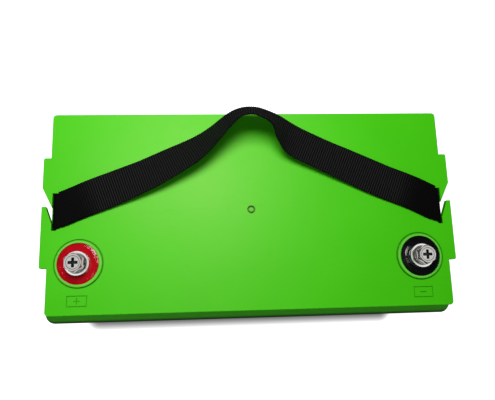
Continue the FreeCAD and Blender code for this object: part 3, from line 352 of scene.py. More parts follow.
def circuit_board(name, colour):
    """Solder mask with copper tracks under it and a few bare pads."""
    material, tree, surface, place = shader(name)
    tracks = add(tree, "TexBrick", {"offset": 0.5, "squash": 1.0}, Vector=place, Scale=120.0,
                 Mortar_Size=0.06, Brick_Width=1.4, Row_Height=0.35).outputs["Fac"]
    pads = add(tree, "TexVoronoi", {"feature": "F1"}, Vector=place, Scale=240.0).outputs["Distance"]
    bare = remap(tree, pads, 0.16, 0.2, 1.0, 0.0)
    mask = blend_colour(tree, tracks, rgba(colour), rgba(colour, 1.7))
    paint = blend_colour(tree, bare, mask, (0.75, 0.72, 0.66, 1.0))
    tree.links.new(paint, surface.inputs["Base Color"])
    tree.links.new(product(tree, bare, 0.9), surface.inputs["Metallic"])
    tree.links.new(remap(tree, tracks, 0.0, 1.0, 0.28, 0.36), surface.inputs["Roughness"])
    bump(tree, surface, (tracks, 0.3, 0.00005))
    return material


def cast_resin(name, colour, deep):
    """Glossy resin poured into the terminal wells: an uneven skin with dust in it."""
    material, tree, surface, place = shader(name)
    swirl = noise(tree, place, 90.0, 3.0, 0.5, 1.0)
    paint = blend_colour(tree, remap(tree, swirl, 0.35, 0.65, 0.0, 1.0), rgba(colour), rgba(deep))
    tree.links.new(paint, surface.inputs["Base Color"])
    specks = noise(tree, place, 1500.0, 2.0)
    tree.links.new(remap(tree, specks, 0.4, 0.8, 0.10, 0.22), surface.inputs["Roughness"])
    surface.inputs["Coat Weight"].default_value = 0.25
    surface.inputs["Coat Roughness"].default_value = 0.05
    surface.inputs["Specular IOR Level"].default_value = 0.3
    bump(tree, surface, (swirl, 0.5, 0.0006), (specks, 0.05, 0.00004))
    return material


# The webbing's lengthwise yarns, and its colour between the ribs, on their tops as a painted highlight,
# and on lint.
YARN_PITCH = 0.78 * MM
VALLEY_BLACK = (0.0005, 0.0005, 0.0006)
CREST_HIGHLIGHT = (0.060, 0.062, 0.060)
LINT_GREY = (0.05, 0.05, 0.05)


def webbing_cloth(name):
    """Black woven webbing: lengthwise yarns over cross ribs, with loose fibres and lint, and a painted
    highlight on the rib tops.
    """
    material, tree, surface, place = shader(name)
    across = add(tree, "Attribute", {"attribute_name": "across"}).outputs["Fac"]
    along = add(tree, "Attribute", {"attribute_name": "along"}).outputs["Fac"]
    height = add(tree, "Attribute", {"attribute_name": "rib"}).outputs["Fac"]
    column = product(tree, across, 2 * math.pi / YARN_PITCH)
    yarn = remap(tree, math_node(tree, "COSINE", column), -1.0, 1.0, 0.0, 1.0)
    flat_place = add(tree, "CombineXYZ", X=product(tree, across, 5200.0),
                     Y=product(tree, along, 700.0)).outputs[0]
    fibres = noise(tree, flat_place, 1.0, 3.0, 0.6)
    fuzz = noise(tree, place, 3800.0, 2.0)
    lint = remap(tree, fuzz, 0.72, 0.80, 0.0, 0.4)
    # Painted highlight on the rib tops; the valleys stay black.
    crest_highlight = math_node(tree, "POWER", height, 4.0)
    lit = product(tree, product(tree, crest_highlight, fibres), remap(tree, yarn, 0.0, 1.0, 0.4, 1.0))
    paint = blend_colour(tree, lit, rgba(VALLEY_BLACK), rgba(CREST_HIGHLIGHT))
    paint = blend_colour(tree, lint, paint, rgba(LINT_GREY))
    tree.links.new(paint, surface.inputs["Base Color"])
    tree.links.new(remap(tree, fibres, 0.2, 0.8, 0.55, 0.8), surface.inputs["Roughness"])
    surface.inputs["Specular IOR Level"].default_value = 0.06
    bump(tree, surface, (yarn, 0.6, 0.00012), (fibres, 0.35, 0.00006), (fuzz, 0.2, 0.00004))
    return material


def sewing_thread(name, colour):
    """Twisted polyester thread: fine strands with a slight sheen."""
    material, tree, surface, place = shader(name)
    strands = noise(tree, stretched(tree, place, (1.0, 1.0, 3.0)), 4200.0, 2.0)
    paint = blend_colour(tree, strands, rgba(colour, 0.6), rgba(colour, 1.6))
    tree.links.new(paint, surface.inputs["Base Color"])
    surface.inputs["Roughness"].default_value = 0.6
    surface.inputs["Sheen Weight"].default_value = 0.2
    bump(tree, surface, (strands, 0.5, 0.00006))
    return material


# ---------------------------------------------------------------- materials
GREEN = (0.058, 0.64, 0.003)
MATERIALS = {
    "case_green": moulded_plastic("green_abs", GREEN, 0.42, 0.012, specular=0.34, cloud=0.03,
                                  tint=(1.0, 0.78, 0.52), painted_lid_light=True),
    "seal_grey": soft_rubber("seal_rubber", (0.03, 0.035, 0.03), 0.6),
    "tinned_brass": plated_metal("tin_plating", (0.88, 0.87, 0.84), 0.20),
    "sealant_red": cast_resin("red_resin", (0.56, 0.001, 0.010), (0.42, 0.001, 0.006)),
    "sealant_black": cast_resin("black_resin", (0.004, 0.0035, 0.005), (0.001, 0.001, 0.0015)),
    "plated_steel": plated_metal("zinc_plating", (0.66, 0.65, 0.63), 0.16, under_head_shade=0.55),
    "strap_webbing": webbing_cloth("black_webbing"),
    "stitch_thread": sewing_thread("black_thread", (0.03, 0.03, 0.032)),
    "cross_bar_steel": plated_metal("drawn_steel", (0.58, 0.58, 0.57), 0.3, (6.0, 0.2, 6.0)),
    "foam_black": foam("packing_foam", (0.03, 0.03, 0.033)),
    "cell_wrap": shrink_wrap("blue_film", (0.02, 0.10, 0.42)),
    "cell_aluminium": plated_metal("cell_aluminium", (0.80, 0.81, 0.82), 0.3),
    "insulator_sheet": moulded_plastic("epoxy_sheet", (0.72, 0.62, 0.30), 0.5, 0.03),
    "band_steel": plated_metal("steel_band", (0.55, 0.55, 0.56), 0.35, (0.3, 0.3, 8.0)),
    "copper": plated_metal("copper", (0.88, 0.50, 0.34), 0.3, (4.0, 0.5, 4.0), 0.3),
    "tray_black": moulded_plastic("black_nylon", (0.02, 0.02, 0.022), 0.5, 0.03),
    "board_green": circuit_board("solder_mask", (0.01, 0.10, 0.04)),
    "standoff_brass": plated_metal("brass", (0.83, 0.62, 0.28), 0.3, tarnish=0.2),
    "transistor_black": moulded_plastic("mould_compound", (0.018, 0.018, 0.018), 0.55, 0.05),
    "heatsink_aluminium": plated_metal("extruded_aluminium", (0.70, 0.71, 0.72), 0.38, (0.3, 6.0, 6.0)),
    "connector_white": moulded_plastic("white_nylon", (0.78, 0.76, 0.68), 0.45, 0.02),
    "lead_red": soft_rubber("red_silicone", (0.48, 0.01, 0.01), 0.5),
    "lead_black": soft_rubber("black_silicone", (0.02, 0.02, 0.02), 0.5),
    "sense_wire": soft_rubber("yellow_wire", (0.62, 0.38, 0.03), 0.45),
}
SLOT_OF = {entry["node"]: entry["material_slot"] for entry in frame["record"]["subparts"]}
for node_name, node in NODES.items():
    finish = MATERIALS[SLOT_OF[node_name]]
    node.data.materials.clear()
    node.data.materials.append(finish)


# ---------------------------------------------------------------- mesh helpers
def mesh_piece(name, vertices, faces, slot_name, sharp_angle):
    """A new smooth object with its slot's material; edges over sharp_angle stay sharp."""
    mesh = bpy.data.meshes.new(name)
    mesh.from_pydata([tuple(vertex) for vertex in vertices], [], faces)
    mesh.validate()
    mesh.materials.append(MATERIALS[slot_name])
    made = bpy.data.objects.new(name, mesh)
    bpy.context.scene.collection.objects.link(made)
    shaped = bmesh.new()
    shaped.from_mesh(mesh)
    bmesh.ops.recalc_face_normals(shaped, faces=shaped.faces)
    limit = math.radians(sharp_angle)
    for edge in shaped.edges:
        edge.smooth = not (len(edge.link_faces) == 2 and edge.calc_face_angle() > limit)
    for face in shaped.faces:
        face.smooth = True
    shaped.to_mesh(mesh)
    shaped.free()
    return made


def loft(rings):
    """Vertices and faces of a closed skin over rings of equally many points."""
    count = len(rings[0])
    vertices = [point for ring_points in rings for point in ring_points]
    faces = []
    for level in range(len(rings) - 1):
        low = level * count
        high = low + count
        for index in range(count):
            after = (index + 1) % count
            faces.append((low + index, low + after, high + after, high + index))
    faces.append(tuple(range(count))[::-1])
    last = (len(rings) - 1) * count
    faces.append(tuple(range(last, last + count)))
    return vertices, faces


def store(piece, label, values):
    """Keeps one number for each vertex, for the piece's material to read."""
    attribute = piece.data.attributes.new(label, "FLOAT", "POINT")
    attribute.data.foreach_set("value", np.array(values, np.float32))


# ---------------------------------------------------------------- carrying strap
STRAP_WIDTH = 28.0 * MM
STRAP_THICKNESS = 2.1 * MM
EDGE_THINNING = 0.22
EDGE_BULGE = 0.35 * MM
RIB_PITCH = 1.9 * MM
RIB_DEPTH = 0.34 * MM
RIB_INSET = 0.25 * MM
RIB_STEPS = 6
WIDTH_STEPS = 26
UNEVENNESS = 1.1 * MM

BAR_LOW, BAR_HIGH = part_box("right_cross_bar")
SLIT_X = (BAR_LOW.x + BAR_HIGH.x) / 2
BAR_Z = (BAR_LOW.z + BAR_HIGH.z) / 2
LYING_HEIGHT = 1.3 * MM
FOLD_RADIUS = 2.6 * MM
FOLD_X = SLIT_X - FOLD_RADIUS

# How far from its fold the strap's ribs start to rise, are at their full height, and the strap
# has turned to its own heading; and by what share it is spread in a slit.
SMOOTH_LENGTH = 10.0 * MM
RIBBED_LENGTH = 34.0 * MM
TURN_LENGTH = 7.0 * MM
SLIT_SPREAD = 0.036

# The strap's line over the lid, from the left slit to the right: x, y, height over the lid,
# all in millimetres, and roll in degrees. A positive roll lifts the front edge.
STRAP_LINE = (
    (-152.5, 0.2, 1.3, 0.0), (-130.0, 9.7, 1.4, 2.0), (-105.0, 19.3, 2.4, 7.0),
    (-80.0, 29.4, 5.4, 17.0), (-58.1, 39.9, 8.0, 27.0), (-40.0, 50.0, 10.4, 40.0),
    (-26.0, 61.0, 15.0, 54.0), (-13.0, 71.0, 20.2, 58.5), (0.0, 74.5, 23.1, 59.0),
    (11.0, 72.1, 21.6, 57.0), (20.8, 66.6, 17.0, 51.0), (26.2, 61.3, 13.1, 38.0),
    (31.6, 57.0, 9.3, 24.0), (44.8, 49.7, 5.8, 12.5), (62.7, 41.5, 4.2, 9.0),
    (85.6, 31.1, 2.8, 4.5), (110.0, 20.0, 1.8, 1.5), (132.0, 11.0, 1.4, 0.5),
    (152.5, 0.5, 1.3, 0.0),
)
# The strap's end below the lid, as millimetres outwards from the slit's middle and above the
# cross bar's middle: down from the fold, round the bar, and up the inner side.
STRAP_END = (
    (0.0, 14.2), (0.0, 12.0), (0.0, 9.0), (0.5, 6.4), (2.6, 3.3), (3.75, 0.0), (2.65, -2.65),
    (0.0, -3.75), (-2.65, -2.65), (-3.75, 0.0), (-2.9, 3.3), (-2.05, 6.4), (-2.0, 8.6),
    (-2.0, 10.0),
)


def spline(knots, values, wanted):
    """A natural cubic spline through the values at the knots, read at the wanted places."""
    knots = np.asarray(knots, float)
    values = np.asarray(values, float)
    count = len(knots)
    gaps = np.diff(knots)
    matrix = np.eye(count)
    right = np.zeros(values.shape)
    slopes = np.diff(values, axis=0) / (gaps[:, None] if values.ndim > 1 else gaps)
    for index in range(1, count - 1):
        matrix[index, index - 1] = gaps[index - 1]
        matrix[index, index] = 2 * (gaps[index - 1] + gaps[index])
        matrix[index, index + 1] = gaps[index]
        right[index] = 6 * (slopes[index] - slopes[index - 1])
    bends = np.linalg.solve(matrix, right)
    wanted = np.asarray(wanted, float)
    cell = np.clip(np.searchsorted(knots, wanted) - 1, 0, count - 2)
    gap = gaps[cell]
    after = (wanted - knots[cell]) / gap
    before = 1 - after
    shape = (lambda array: array[:, None]) if values.ndim > 1 else (lambda array: array)
    bent = shape((before ** 3 - before) * gap ** 2 / 6) * bends[cell]
    bent = bent + shape((after ** 3 - after) * gap ** 2 / 6) * bends[cell + 1]
    return shape(before) * values[cell] + shape(after) * values[cell + 1] + bent


def smoothstep(low, high, value):
    """0 at low and beyond it, 1 at high and beyond it, and smooth between them."""
    share = np.clip((value - low) / (high - low), 0, 1)
    return share * share * (3 - 2 * share)


def strap_end_line(side):
    """The centre line of a strap end from its hidden tip to the start of the fold."""
    points = np.array(STRAP_END[::-1])
    steps = np.concatenate([[0], np.cumsum(np.linalg.norm(np.diff(points, axis=0), axis=1))])
    fine = spline(steps, points, np.linspace(0, steps[-1], 240)) * MM
    x = side * (SLIT_X + fine[:, 0])
    return np.stack([x, np.zeros(len(x)), BAR_Z + fine[:, 1]], 1)


def strap_fold_line(side):
    """The quarter turn from the slit to lying on the lid."""
    angles = np.linspace(0, math.pi / 2, 30)[1:-1]
    x = side * (FOLD_X + FOLD_RADIUS * np.cos(angles))
    z = LID_TOP + LYING_HEIGHT - FOLD_RADIUS + FOLD_RADIUS * np.sin(angles)
    return np.stack([x, np.zeros(len(x)), z], 1)


def strap_top_line():
    """The centre line over the lid, from left to right, and its roll."""
    line = np.array(STRAP_LINE)
    x = np.linspace(line[0, 0], line[-1, 0], 1600)
    rest = spline(line[:, 0], line[:, 1:], x)
    points = np.stack([x, rest[:, 0], rest[:, 1]], 1) * MM
    points[:, 2] += LID_TOP
    return points, np.radians(rest[:, 2])


def moving_average(values, reach):
    """Each column smoothed over reach steps on either side."""
    kernel = np.hanning(2 * reach + 3)[1:-1]
    kernel /= kernel.sum()
    padded = np.pad(values, ((reach, reach), (0, 0)), mode="edge")
    return np.stack([np.convolve(column, kernel, "valid") for column in padded.T], 1)


def unit(vectors):
    """The vectors, each made one long."""
    return vectors / np.linalg.norm(vectors, axis=1)[:, None]


def strap_frames():
    """Even steps along the whole strap: place, distance, front direction and normal."""
    top, roll = strap_top_line()
    left = [strap_end_line(-1), strap_fold_line(-1)]
    right = [strap_fold_line(1)[::-1], strap_end_line(1)[::-1]]
    line = np.concatenate(left + [top] + right)
    level = [np.zeros(sum(map(len, part))) for part in (left, right)]
    rolls = np.concatenate([level[0], roll, level[1]])
    walked = np.concatenate([[0], np.cumsum(np.linalg.norm(np.diff(line, axis=0), axis=1))])
    step = RIB_PITCH / RIB_STEPS
    distance = np.arange(int(walked[-1] / step) + 1) * step
    data = np.stack([np.interp(distance, walked, column) for column in (*line.T, rolls)], 1)
    data = moving_average(data, 3)
    place = data[:, :3]
    tilt = data[:, 3][:, None]
    tangent = unit(np.gradient(place, axis=0))

    # The front direction is square to the heading over the lid, and straight forward at the
    # slits; then it rolls about the line.
    heading = np.gradient(moving_average(place, 10)[:, :2], axis=0)
    heading[np.abs(place[:, 0]) > FOLD_X] = (1.0, 0.0)
    heading = unit(heading)
    front = np.stack([heading[:, 1], -heading[:, 0], np.zeros(len(heading))], 1)
    turned = smoothstep(FOLD_X, FOLD_X - TURN_LENGTH, np.abs(place[:, 0]))[:, None]
    front = unit(turned * front + (1 - turned) * np.array([0.0, -1.0, 0.0]))
    upward = unit(np.cross(front, tangent))
    front = unit(moving_average(front * np.cos(tilt) + upward * np.sin(tilt), 2))
    return place, distance, front, unit(np.cross(front, tangent))


def rib_height(distance):
    """From 0 in the valley between two ribs to 1 along a rib's top."""
    return (0.5 - 0.5 * np.cos(2 * math.pi * distance / RIB_PITCH)) ** 0.6


def strap_ring(centre, front, normal, half_width, half_thickness, cup):
    """One section of the strap: its points, each with its place from 1 in front to -1 behind."""
    points = []
    places = []
    for face in (1, -1):
        for share in np.linspace(face, -face, WIDTH_STEPS + 1):
            thickness = half_thickness * (1 - EDGE_THINNING * abs(share) ** 14)
            lift = face * thickness + cup * (share * share - 0.5)
            points.append(centre + front * (half_width * share) + normal * lift)
            places.append(share)
        points.append(centre - front * (face * (half_width + EDGE_BULGE)))
        places.append(-face)
    return points, places


def build_strap():
    """The strap in two halves that meet at its middle, each with what its cloth reads."""
    place, distance, front, normal = strap_frames()
    beside = np.abs(place[:, 0])
    middle = round(int(np.argmin(beside)) / RIB_STEPS) * RIB_STEPS
    rib = rib_height(distance)
    ribbed = smoothstep(FOLD_X - SMOOTH_LENGTH, FOLD_X - RIBBED_LENGTH, beside)
    depth = RIB_DEPTH * (0.25 + 0.75 * ribbed)
    # The rib attribute holds a painted highlight on the rib tops, weaker near the slits.
    shine = rib * (0.45 + 0.55 * ribbed)
    width = STRAP_WIDTH * (1 + SLIT_SPREAD * smoothstep(FOLD_X - MM, SLIT_X - MM, beside))
    generator = np.random.default_rng(7)
    wander = moving_average(generator.normal(size=(len(distance), 3)), 60) * UNEVENNESS
    half_width = width / 2 - RIB_INSET * (1 - rib) + wander[:, 0]
    half_thickness = STRAP_THICKNESS / 2 - depth * (1 - rib)
    centre = place + normal * wander[:, 1, None] * 0.3
    halves = {}
    for name, first, last in (("left", 0, middle), ("right", middle, len(distance) - 1)):
        rings = []
        across = []
        for index in range(first, last + 1):
            points, places = strap_ring(centre[index], front[index], normal[index],
                                        half_width[index], half_thickness[index],
                                        wander[index, 2] * 0.5)
            rings.append(points)
            across.append(places)
        vertices, faces = loft(rings)
        half = mesh_piece("strap_" + name + "_half", vertices, faces, "strap_webbing", 80.0)
        across = np.array(across)
        steps = slice(first, last + 1)
        # The two edge points of each section get less of the painted rib highlight than its faces.
        edge_highlight_share = np.ones(across.shape[1])
        edge_highlight_share[[WIDTH_STEPS + 1, -1]] = 0.6
        store(half, "along", np.repeat(distance[steps], across.shape[1]))
        store(half, "across", (across * STRAP_WIDTH / 2).ravel())
        store(half, "rib", (shine[steps, None] * edge_highlight_share).ravel())
        halves[name] = half
    return halves


# Each half's place is baked into its mesh, and the CAD strap pieces it replaces are hidden.
strap_halves = build_strap()
for half_name, half_side in (("left", -1), ("right", 1)):
    half = strap_halves[half_name]
    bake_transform(half)
    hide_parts("strap_span", "strap_" + half_name + "_tail")


# ---------------------------------------------------------------- terminals
def revolve(name, profile, centre, slot_name, steps, ripple):
    """A closed turned solid from a profile of (radius, z) pairs; the ripple shapes its top."""
    vertices = []
    faces = []
    count = len(profile)
    for step in range(steps):
        angle = 2 * math.pi * step / steps
        for radius, z in profile:
            x = centre.x + radius * math.cos(angle)
            y = centre.y + radius * math.sin(angle)
            lift = ripple(angle, radius) if z > centre.z else 0.0
            vertices.append((x, y, z + lift))
    for step in range(steps):
        following = (step + 1) % steps
        for index in range(count):
            after = (index + 1) % count
            faces.append((step * count + index, following * count + index, following * count + after,
                          step * count + after))
    return mesh_piece(name, vertices, faces, slot_name, 50.0)


RESIN_INNER_RADIUS = 9.36 * MM
RESIN_ROWS = 72
RESIN_STEPS = 180
RESIN_RIPPLE = 0.03 * MM
RING_RIPPLE = 0.03 * MM
RING_PITCH = 0.95 * MM


def resin(name, node_name, slot_name, phase, shoulder, foot, fall):
    """The poured resin in a terminal well: a wavy skin that falls between two radii."""
    low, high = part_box(node_name)
    centre = (low + high) / 2
    outer = (high.x - low.x) / 2
    profile = [(RESIN_INNER_RADIUS, low.z), (outer, low.z)]
    for row in range(RESIN_ROWS + 1):
        profile.append((outer + (RESIN_INNER_RADIUS - outer) * row / RESIN_ROWS, high.z))

    def ripple(angle, radius):
        wave = math.sin(2 * angle + phase) + 0.5 * math.sin(5 * angle + 2.3 * phase + 900 * radius)
        uneven = 0.86 + 0.09 * math.sin(4 * angle + phase) + 0.05 * math.sin(11 * angle - 2 * phase)
        wander = 0.25 * MM * math.sin(3 * angle + phase) + 0.08 * MM * math.sin(13 * angle)
        drop = fall * uneven * float(smoothstep(shoulder, foot, radius + wander))
        inner = min(1.0, (radius - RESIN_INNER_RADIUS) / MM)
        ring_share = float(smoothstep(shoulder - MM, shoulder, radius))
        rings = RING_RIPPLE * math.sin(2 * math.pi * (radius + wander) / RING_PITCH) * ring_share * inner
        return RESIN_RIPPLE * wave * inner + rings - drop

    made = revolve(name, profile, centre, slot_name, RESIN_STEPS, ripple)
    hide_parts(node_name)
    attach(made, "case")
    return made


resin("positive_resin", "positive_sealant", "sealant_red", 0.7, 13.9 * MM, 16.1 * MM, 0.5 * MM)
resin("negative_resin", "negative_sealant", "sealant_black", 2.4, 10.0 * MM, 12.2 * MM, 0.68 * MM)


HEAD_FLATS = 13.0 * MM
HEAD_HEIGHT = 6.6 * MM
HEAD_CORNER = 7.36 * MM
CHAMFER_RADIUS = 6.2 * MM
CHAMFER_SLOPE = math.tan(math.radians(40))
DISH_RADIUS = 5.1 * MM
DISH_DEPTH = 0.6 * MM
CROSS_HALF_LENGTH = 3.5 * MM
CROSS_HALF_WIDTH = 0.95 * MM
CROSS_DEPTH = 2.4 * MM
EDGE_ROUND = 0.2 * MM
THREAD_PITCH = 1.25 * MM
THREAD_CREST = 3.93 * MM
THREAD_ROOT = 3.35 * MM
THREAD_LEAD_IN = 1.3 * MM
THREAD_ROWS = 9
HEAD_ROWS = 60
BOLT_STEPS = 120
BOLT_ANGLES = np.arange(BOLT_STEPS) * 2 * math.pi / BOLT_STEPS


def cross_arm(along, aside):
    """From 0 outside one bar of the cross recess to 1 along its bottom."""
    ends = smoothstep(CROSS_HALF_LENGTH + EDGE_ROUND, CROSS_HALF_LENGTH - EDGE_ROUND, np.abs(along))
    sides = smoothstep(CROSS_HALF_WIDTH + EDGE_ROUND, 0.35 * CROSS_HALF_WIDTH, np.abs(aside))
    taper = 1 - 0.2 * np.clip(np.abs(along) / CROSS_HALF_LENGTH, 0, 1) ** 2
    return ends * sides * taper


def cross_share(radius):
    """How deep the cross recess is round a circle, as a share of its full depth."""
    x = radius * np.cos(BOLT_ANGLES)
    y = radius * np.sin(BOLT_ANGLES)
    centre_hole = smoothstep(1.7 * CROSS_HALF_WIDTH, 1.1 * CROSS_HALF_WIDTH, radius)
    return np.maximum(np.maximum(cross_arm(x, y), cross_arm(y, x)), centre_hole)


def head_drop(radius):
    """How far the head's top lies below its highest level: chamfer, dish and cross."""
    chamfer = CHAMFER_SLOPE * np.maximum(radius - CHAMFER_RADIUS, 0)
    dish = DISH_DEPTH * smoothstep(DISH_RADIUS + EDGE_ROUND, DISH_RADIUS - 2 * EDGE_ROUND, radius)
    return chamfer + dish + CROSS_DEPTH * cross_share(radius)


def thread_radius(z, tip_z):
    """The thread's outline round the shank at one height, narrowing near the tip."""
    turn = (z / THREAD_PITCH - BOLT_ANGLES / (2 * math.pi)) % 1.0
    ridge = np.clip(1.25 * np.abs(2 * turn - 1) - 0.12, 0, 1)
    radius = THREAD_ROOT + (THREAD_CREST - THREAD_ROOT) * ridge
    lead_in = THREAD_CREST - np.maximum(tip_z + THREAD_LEAD_IN - z, 0) * 0.6
    return np.minimum(radius, lead_in)


def bolt(name, node_name):
    """A hexagon bolt: dished head with a cross recess, and a threaded shank."""
    low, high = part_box(node_name)
    centre = (low + high) / 2
    sector = math.pi / 3
    off_flat = (BOLT_ANGLES + sector / 2) % sector - sector / 2
    edge = np.minimum(HEAD_FLATS / 2 / np.cos(off_flat), HEAD_CORNER)
    seat = high.z - HEAD_HEIGHT
    rings = []

    def add_ring(radius, z):
        x = centre.x + radius * np.cos(BOLT_ANGLES)
        y = centre.y + radius * np.sin(BOLT_ANGLES)
        rings.append(list(zip(x, y, z + np.zeros(BOLT_STEPS))))

    # The cross recess is darkened with painted shade, stored as a vertex attribute.
    painted_shade = []
    for radius in np.linspace(0.06 * MM, CHAMFER_RADIUS, HEAD_ROWS):
        radii = np.full(BOLT_STEPS, radius)
        add_ring(radii, high.z - head_drop(radii))
        painted_shade.extend(np.minimum(1, 1.6 * cross_share(radii)))
    for share in (0.3, 0.65, 0.93, 1.0):
        radii = CHAMFER_RADIUS + (edge - CHAMFER_RADIUS) * share
        add_ring(radii, high.z - head_drop(radii))
    add_ring(edge, high.z - head_drop(edge) - EDGE_ROUND)
    add_ring(edge, seat + EDGE_ROUND)
    add_ring(edge - EDGE_ROUND, seat)
    add_ring(THREAD_CREST, seat)
    for z in np.arange(seat - EDGE_ROUND, low.z, -THREAD_PITCH / THREAD_ROWS):
        add_ring(thread_radius(z, low.z), z)
    add_ring(THREAD_CREST - THREAD_LEAD_IN * 0.7, low.z)
    painted_shade.extend([0.0] * (len(rings) * BOLT_STEPS - len(painted_shade)))
    made = mesh_piece(name, *loft(rings), "plated_steel", 35.0)
    store(made, "painted_shade", painted_shade)
    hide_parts(node_name)
    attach(made, node_name)
    return made


bolt("positive_hex_bolt", "positive_bolt")
bolt("negative_hex_bolt", "negative_bolt")


# ---------------------------------------------------------------- stitches
STITCH_LENGTH = 2.4 * MM
STITCH_RADIUS = 0.26 * MM
STITCH_SIDES = 8


def stitch_points(start, end, outward):
    """The rings of one stitch that dips into the webbing at both ends."""
    run = end - start
    forward = run.normalized()
    aside = forward.cross(outward)
    rings = []
    for share in np.linspace(0, 1, 9):
        arch = math.sin(math.pi * share) ** 0.5
        swell = 0.55 + 0.45 * math.sin(math.pi * share) ** 0.4
        middle = start + run * float(share) + outward * (STITCH_RADIUS * (0.9 * arch - 0.3))
        ring_points = []
        for step in range(STITCH_SIDES):
            angle = 2 * math.pi * step / STITCH_SIDES
            spoke = aside * math.cos(angle) + outward * math.sin(angle) * 0.8
            ring_points.append(middle + spoke * (STITCH_RADIUS * swell))
        rings.append(ring_points)
    return rings


def stitches(name, node_name, side):
    """Separate lock stitches round the rectangle that closes a strap end."""
    low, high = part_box(node_name)
    face_x = high.x if side < 0 else low.x
    outward = Vector((side, 0.0, 0.0))
    inset = STITCH_RADIUS * 2
    corners = [(low.y + inset, low.z + inset), (high.y - inset, low.z + inset),
               (high.y - inset, high.z - inset), (low.y + inset, high.z - inset)]
    vertices = []
    faces = []
    for index, (y0, z0) in enumerate(corners):
        y1, z1 = corners[(index + 1) % 4]
        start = Vector((face_x, y0, z0))
        run = Vector((face_x, y1, z1)) - start
        count = max(1, round(run.length / STITCH_LENGTH))
        for number in range(count):
            first = start + run * ((number + 0.06) / count)
            last = start + run * ((number + 0.94) / count)
            more, more_faces = loft(stitch_points(first, last, outward))
            base = len(vertices)
            vertices.extend(more)
            faces.extend([tuple(base + corner for corner in face) for face in more_faces])
    made = mesh_piece(name, vertices, faces, "stitch_thread", 60.0)
    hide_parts(node_name)
    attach(made, "case")
    return made


stitches("left_stitches", "left_stitching", -1)
stitches("right_stitches", "right_stitching", 1)


# ---------------------------------------------------------------- floor and lights
FLOOR_HALF = 4.0
CARD_SHARE = 0.5
CARD_LIFT = 0.3 * MM
CONTAINER_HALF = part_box("container")[1]
SHADE_WIDTH = 17.0 * MM
SHADE_POWER = 2.4


def flat_square(name, half, z):
    """A square on the floor that isn't part of the object."""
    mesh = bpy.data.meshes.new(name)
    corners = [(-half, -half, z), (half, -half, z), (half, half, z), (-half, half, z)]
    mesh.from_pydata(corners, [], [(0, 1, 2, 3)])
    made = bpy.data.objects.new(name, mesh)
    bpy.context.scene.collection.objects.link(made)
    return made


def container_distance(tree, place):
    """The distance on the floor from the container's footprint."""
    axes = add(tree, "SeparateXYZ", Vector=place).outputs
    squares = []
    for axis, half_span in (("X", CONTAINER_HALF.x), ("Y", CONTAINER_HALF.y)):
        past = math_node(tree, "SUBTRACT", math_node(tree, "ABSOLUTE", axes[axis]), half_span)
        squares.append(math_node(tree, "POWER", math_node(tree, "MAXIMUM", past, 0.0), 2.0))
    return math_node(tree, "SQRT", math_node(tree, "ADD", *squares))


def studio_floor():
    """A white floor that gives off light, with a soft contact shadow round the container."""
    floor = flat_square("floor", FLOOR_HALF, 0.0)
    material, tree, surface, place = shader("studio_floor")
    paint = blend_colour(tree, noise(tree, place, 3.0, 4.0), (0.90, 0.90, 0.90, 1.0),
                         (0.94, 0.94, 0.94, 1.0))
    away = remap(tree, container_distance(tree, place), 0.0, SHADE_WIDTH, 0.0, 1.0)
    lit = math_node(tree, "POWER", away, SHADE_POWER)
    paint = blend_colour(tree, lit, (0.10, 0.10, 0.10, 1.0), paint)
    tree.links.new(paint, surface.inputs["Base Color"])
    tree.links.new(lit, surface.inputs["Emission Strength"])
    surface.inputs["Emission Color"].default_value = (1.0, 1.0, 1.0, 1.0)
    surface.inputs["Roughness"].default_value = 0.9
    surface.inputs["Specular IOR Level"].default_value = 0.0
    floor.data.materials.append(material)


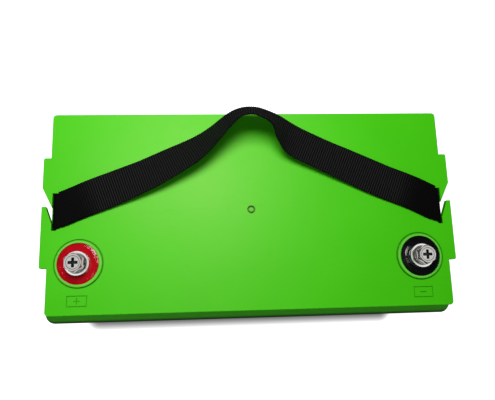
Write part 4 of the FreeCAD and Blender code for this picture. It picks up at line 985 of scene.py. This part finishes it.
def glare_card():
    """A grey card, unseen by the camera, that keeps the floor's light off the object's sides."""
    card = flat_square("glare_card", FLOOR_HALF * CARD_SHARE, CARD_LIFT)
    card.visible_camera = False
    card.visible_shadow = False
    material = bpy.data.materials.new("grey_card")
    material.use_nodes = True
    surface = material.node_tree.nodes["Principled BSDF"]
    surface.inputs["Base Color"].default_value = (0.10, 0.10, 0.10, 1.0)
    surface.inputs["Roughness"].default_value = 1.0
    surface.inputs["Specular IOR Level"].default_value = 0.0
    card.data.materials.append(material)


def backdrop():
    """The room's own light: bright low down all round, and dim overhead."""
    world = bpy.data.worlds.new("world")
    bpy.context.scene.world = world
    world.use_nodes = True
    tree = world.node_tree
    direction = add(tree, "TexCoord").outputs["Generated"]
    upward = add(tree, "SeparateXYZ", Vector=direction).outputs["Z"]
    low_down = remap(tree, upward, 0.15, 0.45, 1.0, 0.0)
    colour = blend_colour(tree, low_down, (0.06, 0.06, 0.06, 1.0), (0.40, 0.40, 0.40, 1.0))
    tree.links.new(colour, tree.nodes["Background"].inputs["Color"])


def lamp(name, place, size, power, receivers):
    """A rectangular lamp that shines straight down on the given collection only."""
    data = bpy.data.lights.new(name, "AREA")
    data.energy = power
    data.shape = "RECTANGLE"
    data.size, data.size_y = size
    made = bpy.data.objects.new(name, data)
    made.location = place
    made.visible_camera = False
    made.light_linking.receiver_collection = receivers
    bpy.context.scene.collection.objects.link(made)


studio_floor()
glare_card()
backdrop()

# The two small lamps would glare in the terminals' metal, so they light everything else. The
# broad soft lamp lights only that metal, as a gloss for it to reflect.
metal_parts = bpy.data.collections.new("terminal_metal")
other_parts = bpy.data.collections.new("all_but_metal")
metal_names = [side + part for side in ("positive_", "negative_")
               for part in ("hex_bolt", "flat_washer", "spring_washer", "insert")]
for scene_object in bpy.context.scene.objects:
    if scene_object.type == "MESH":
        receivers = metal_parts if scene_object.name in metal_names else other_parts
        receivers.objects.link(scene_object)
lamp("key_light", (-0.068, 0.171, 0.750), (0.235, 0.235), 2.95, other_parts)
lamp("front_light", (-0.080, -0.160, 0.750), (0.10, 0.10), 0.20, other_parts)
lamp("metal_light", (0.0, 0.0, 0.950), (2.0, 1.1), 5.5, metal_parts)
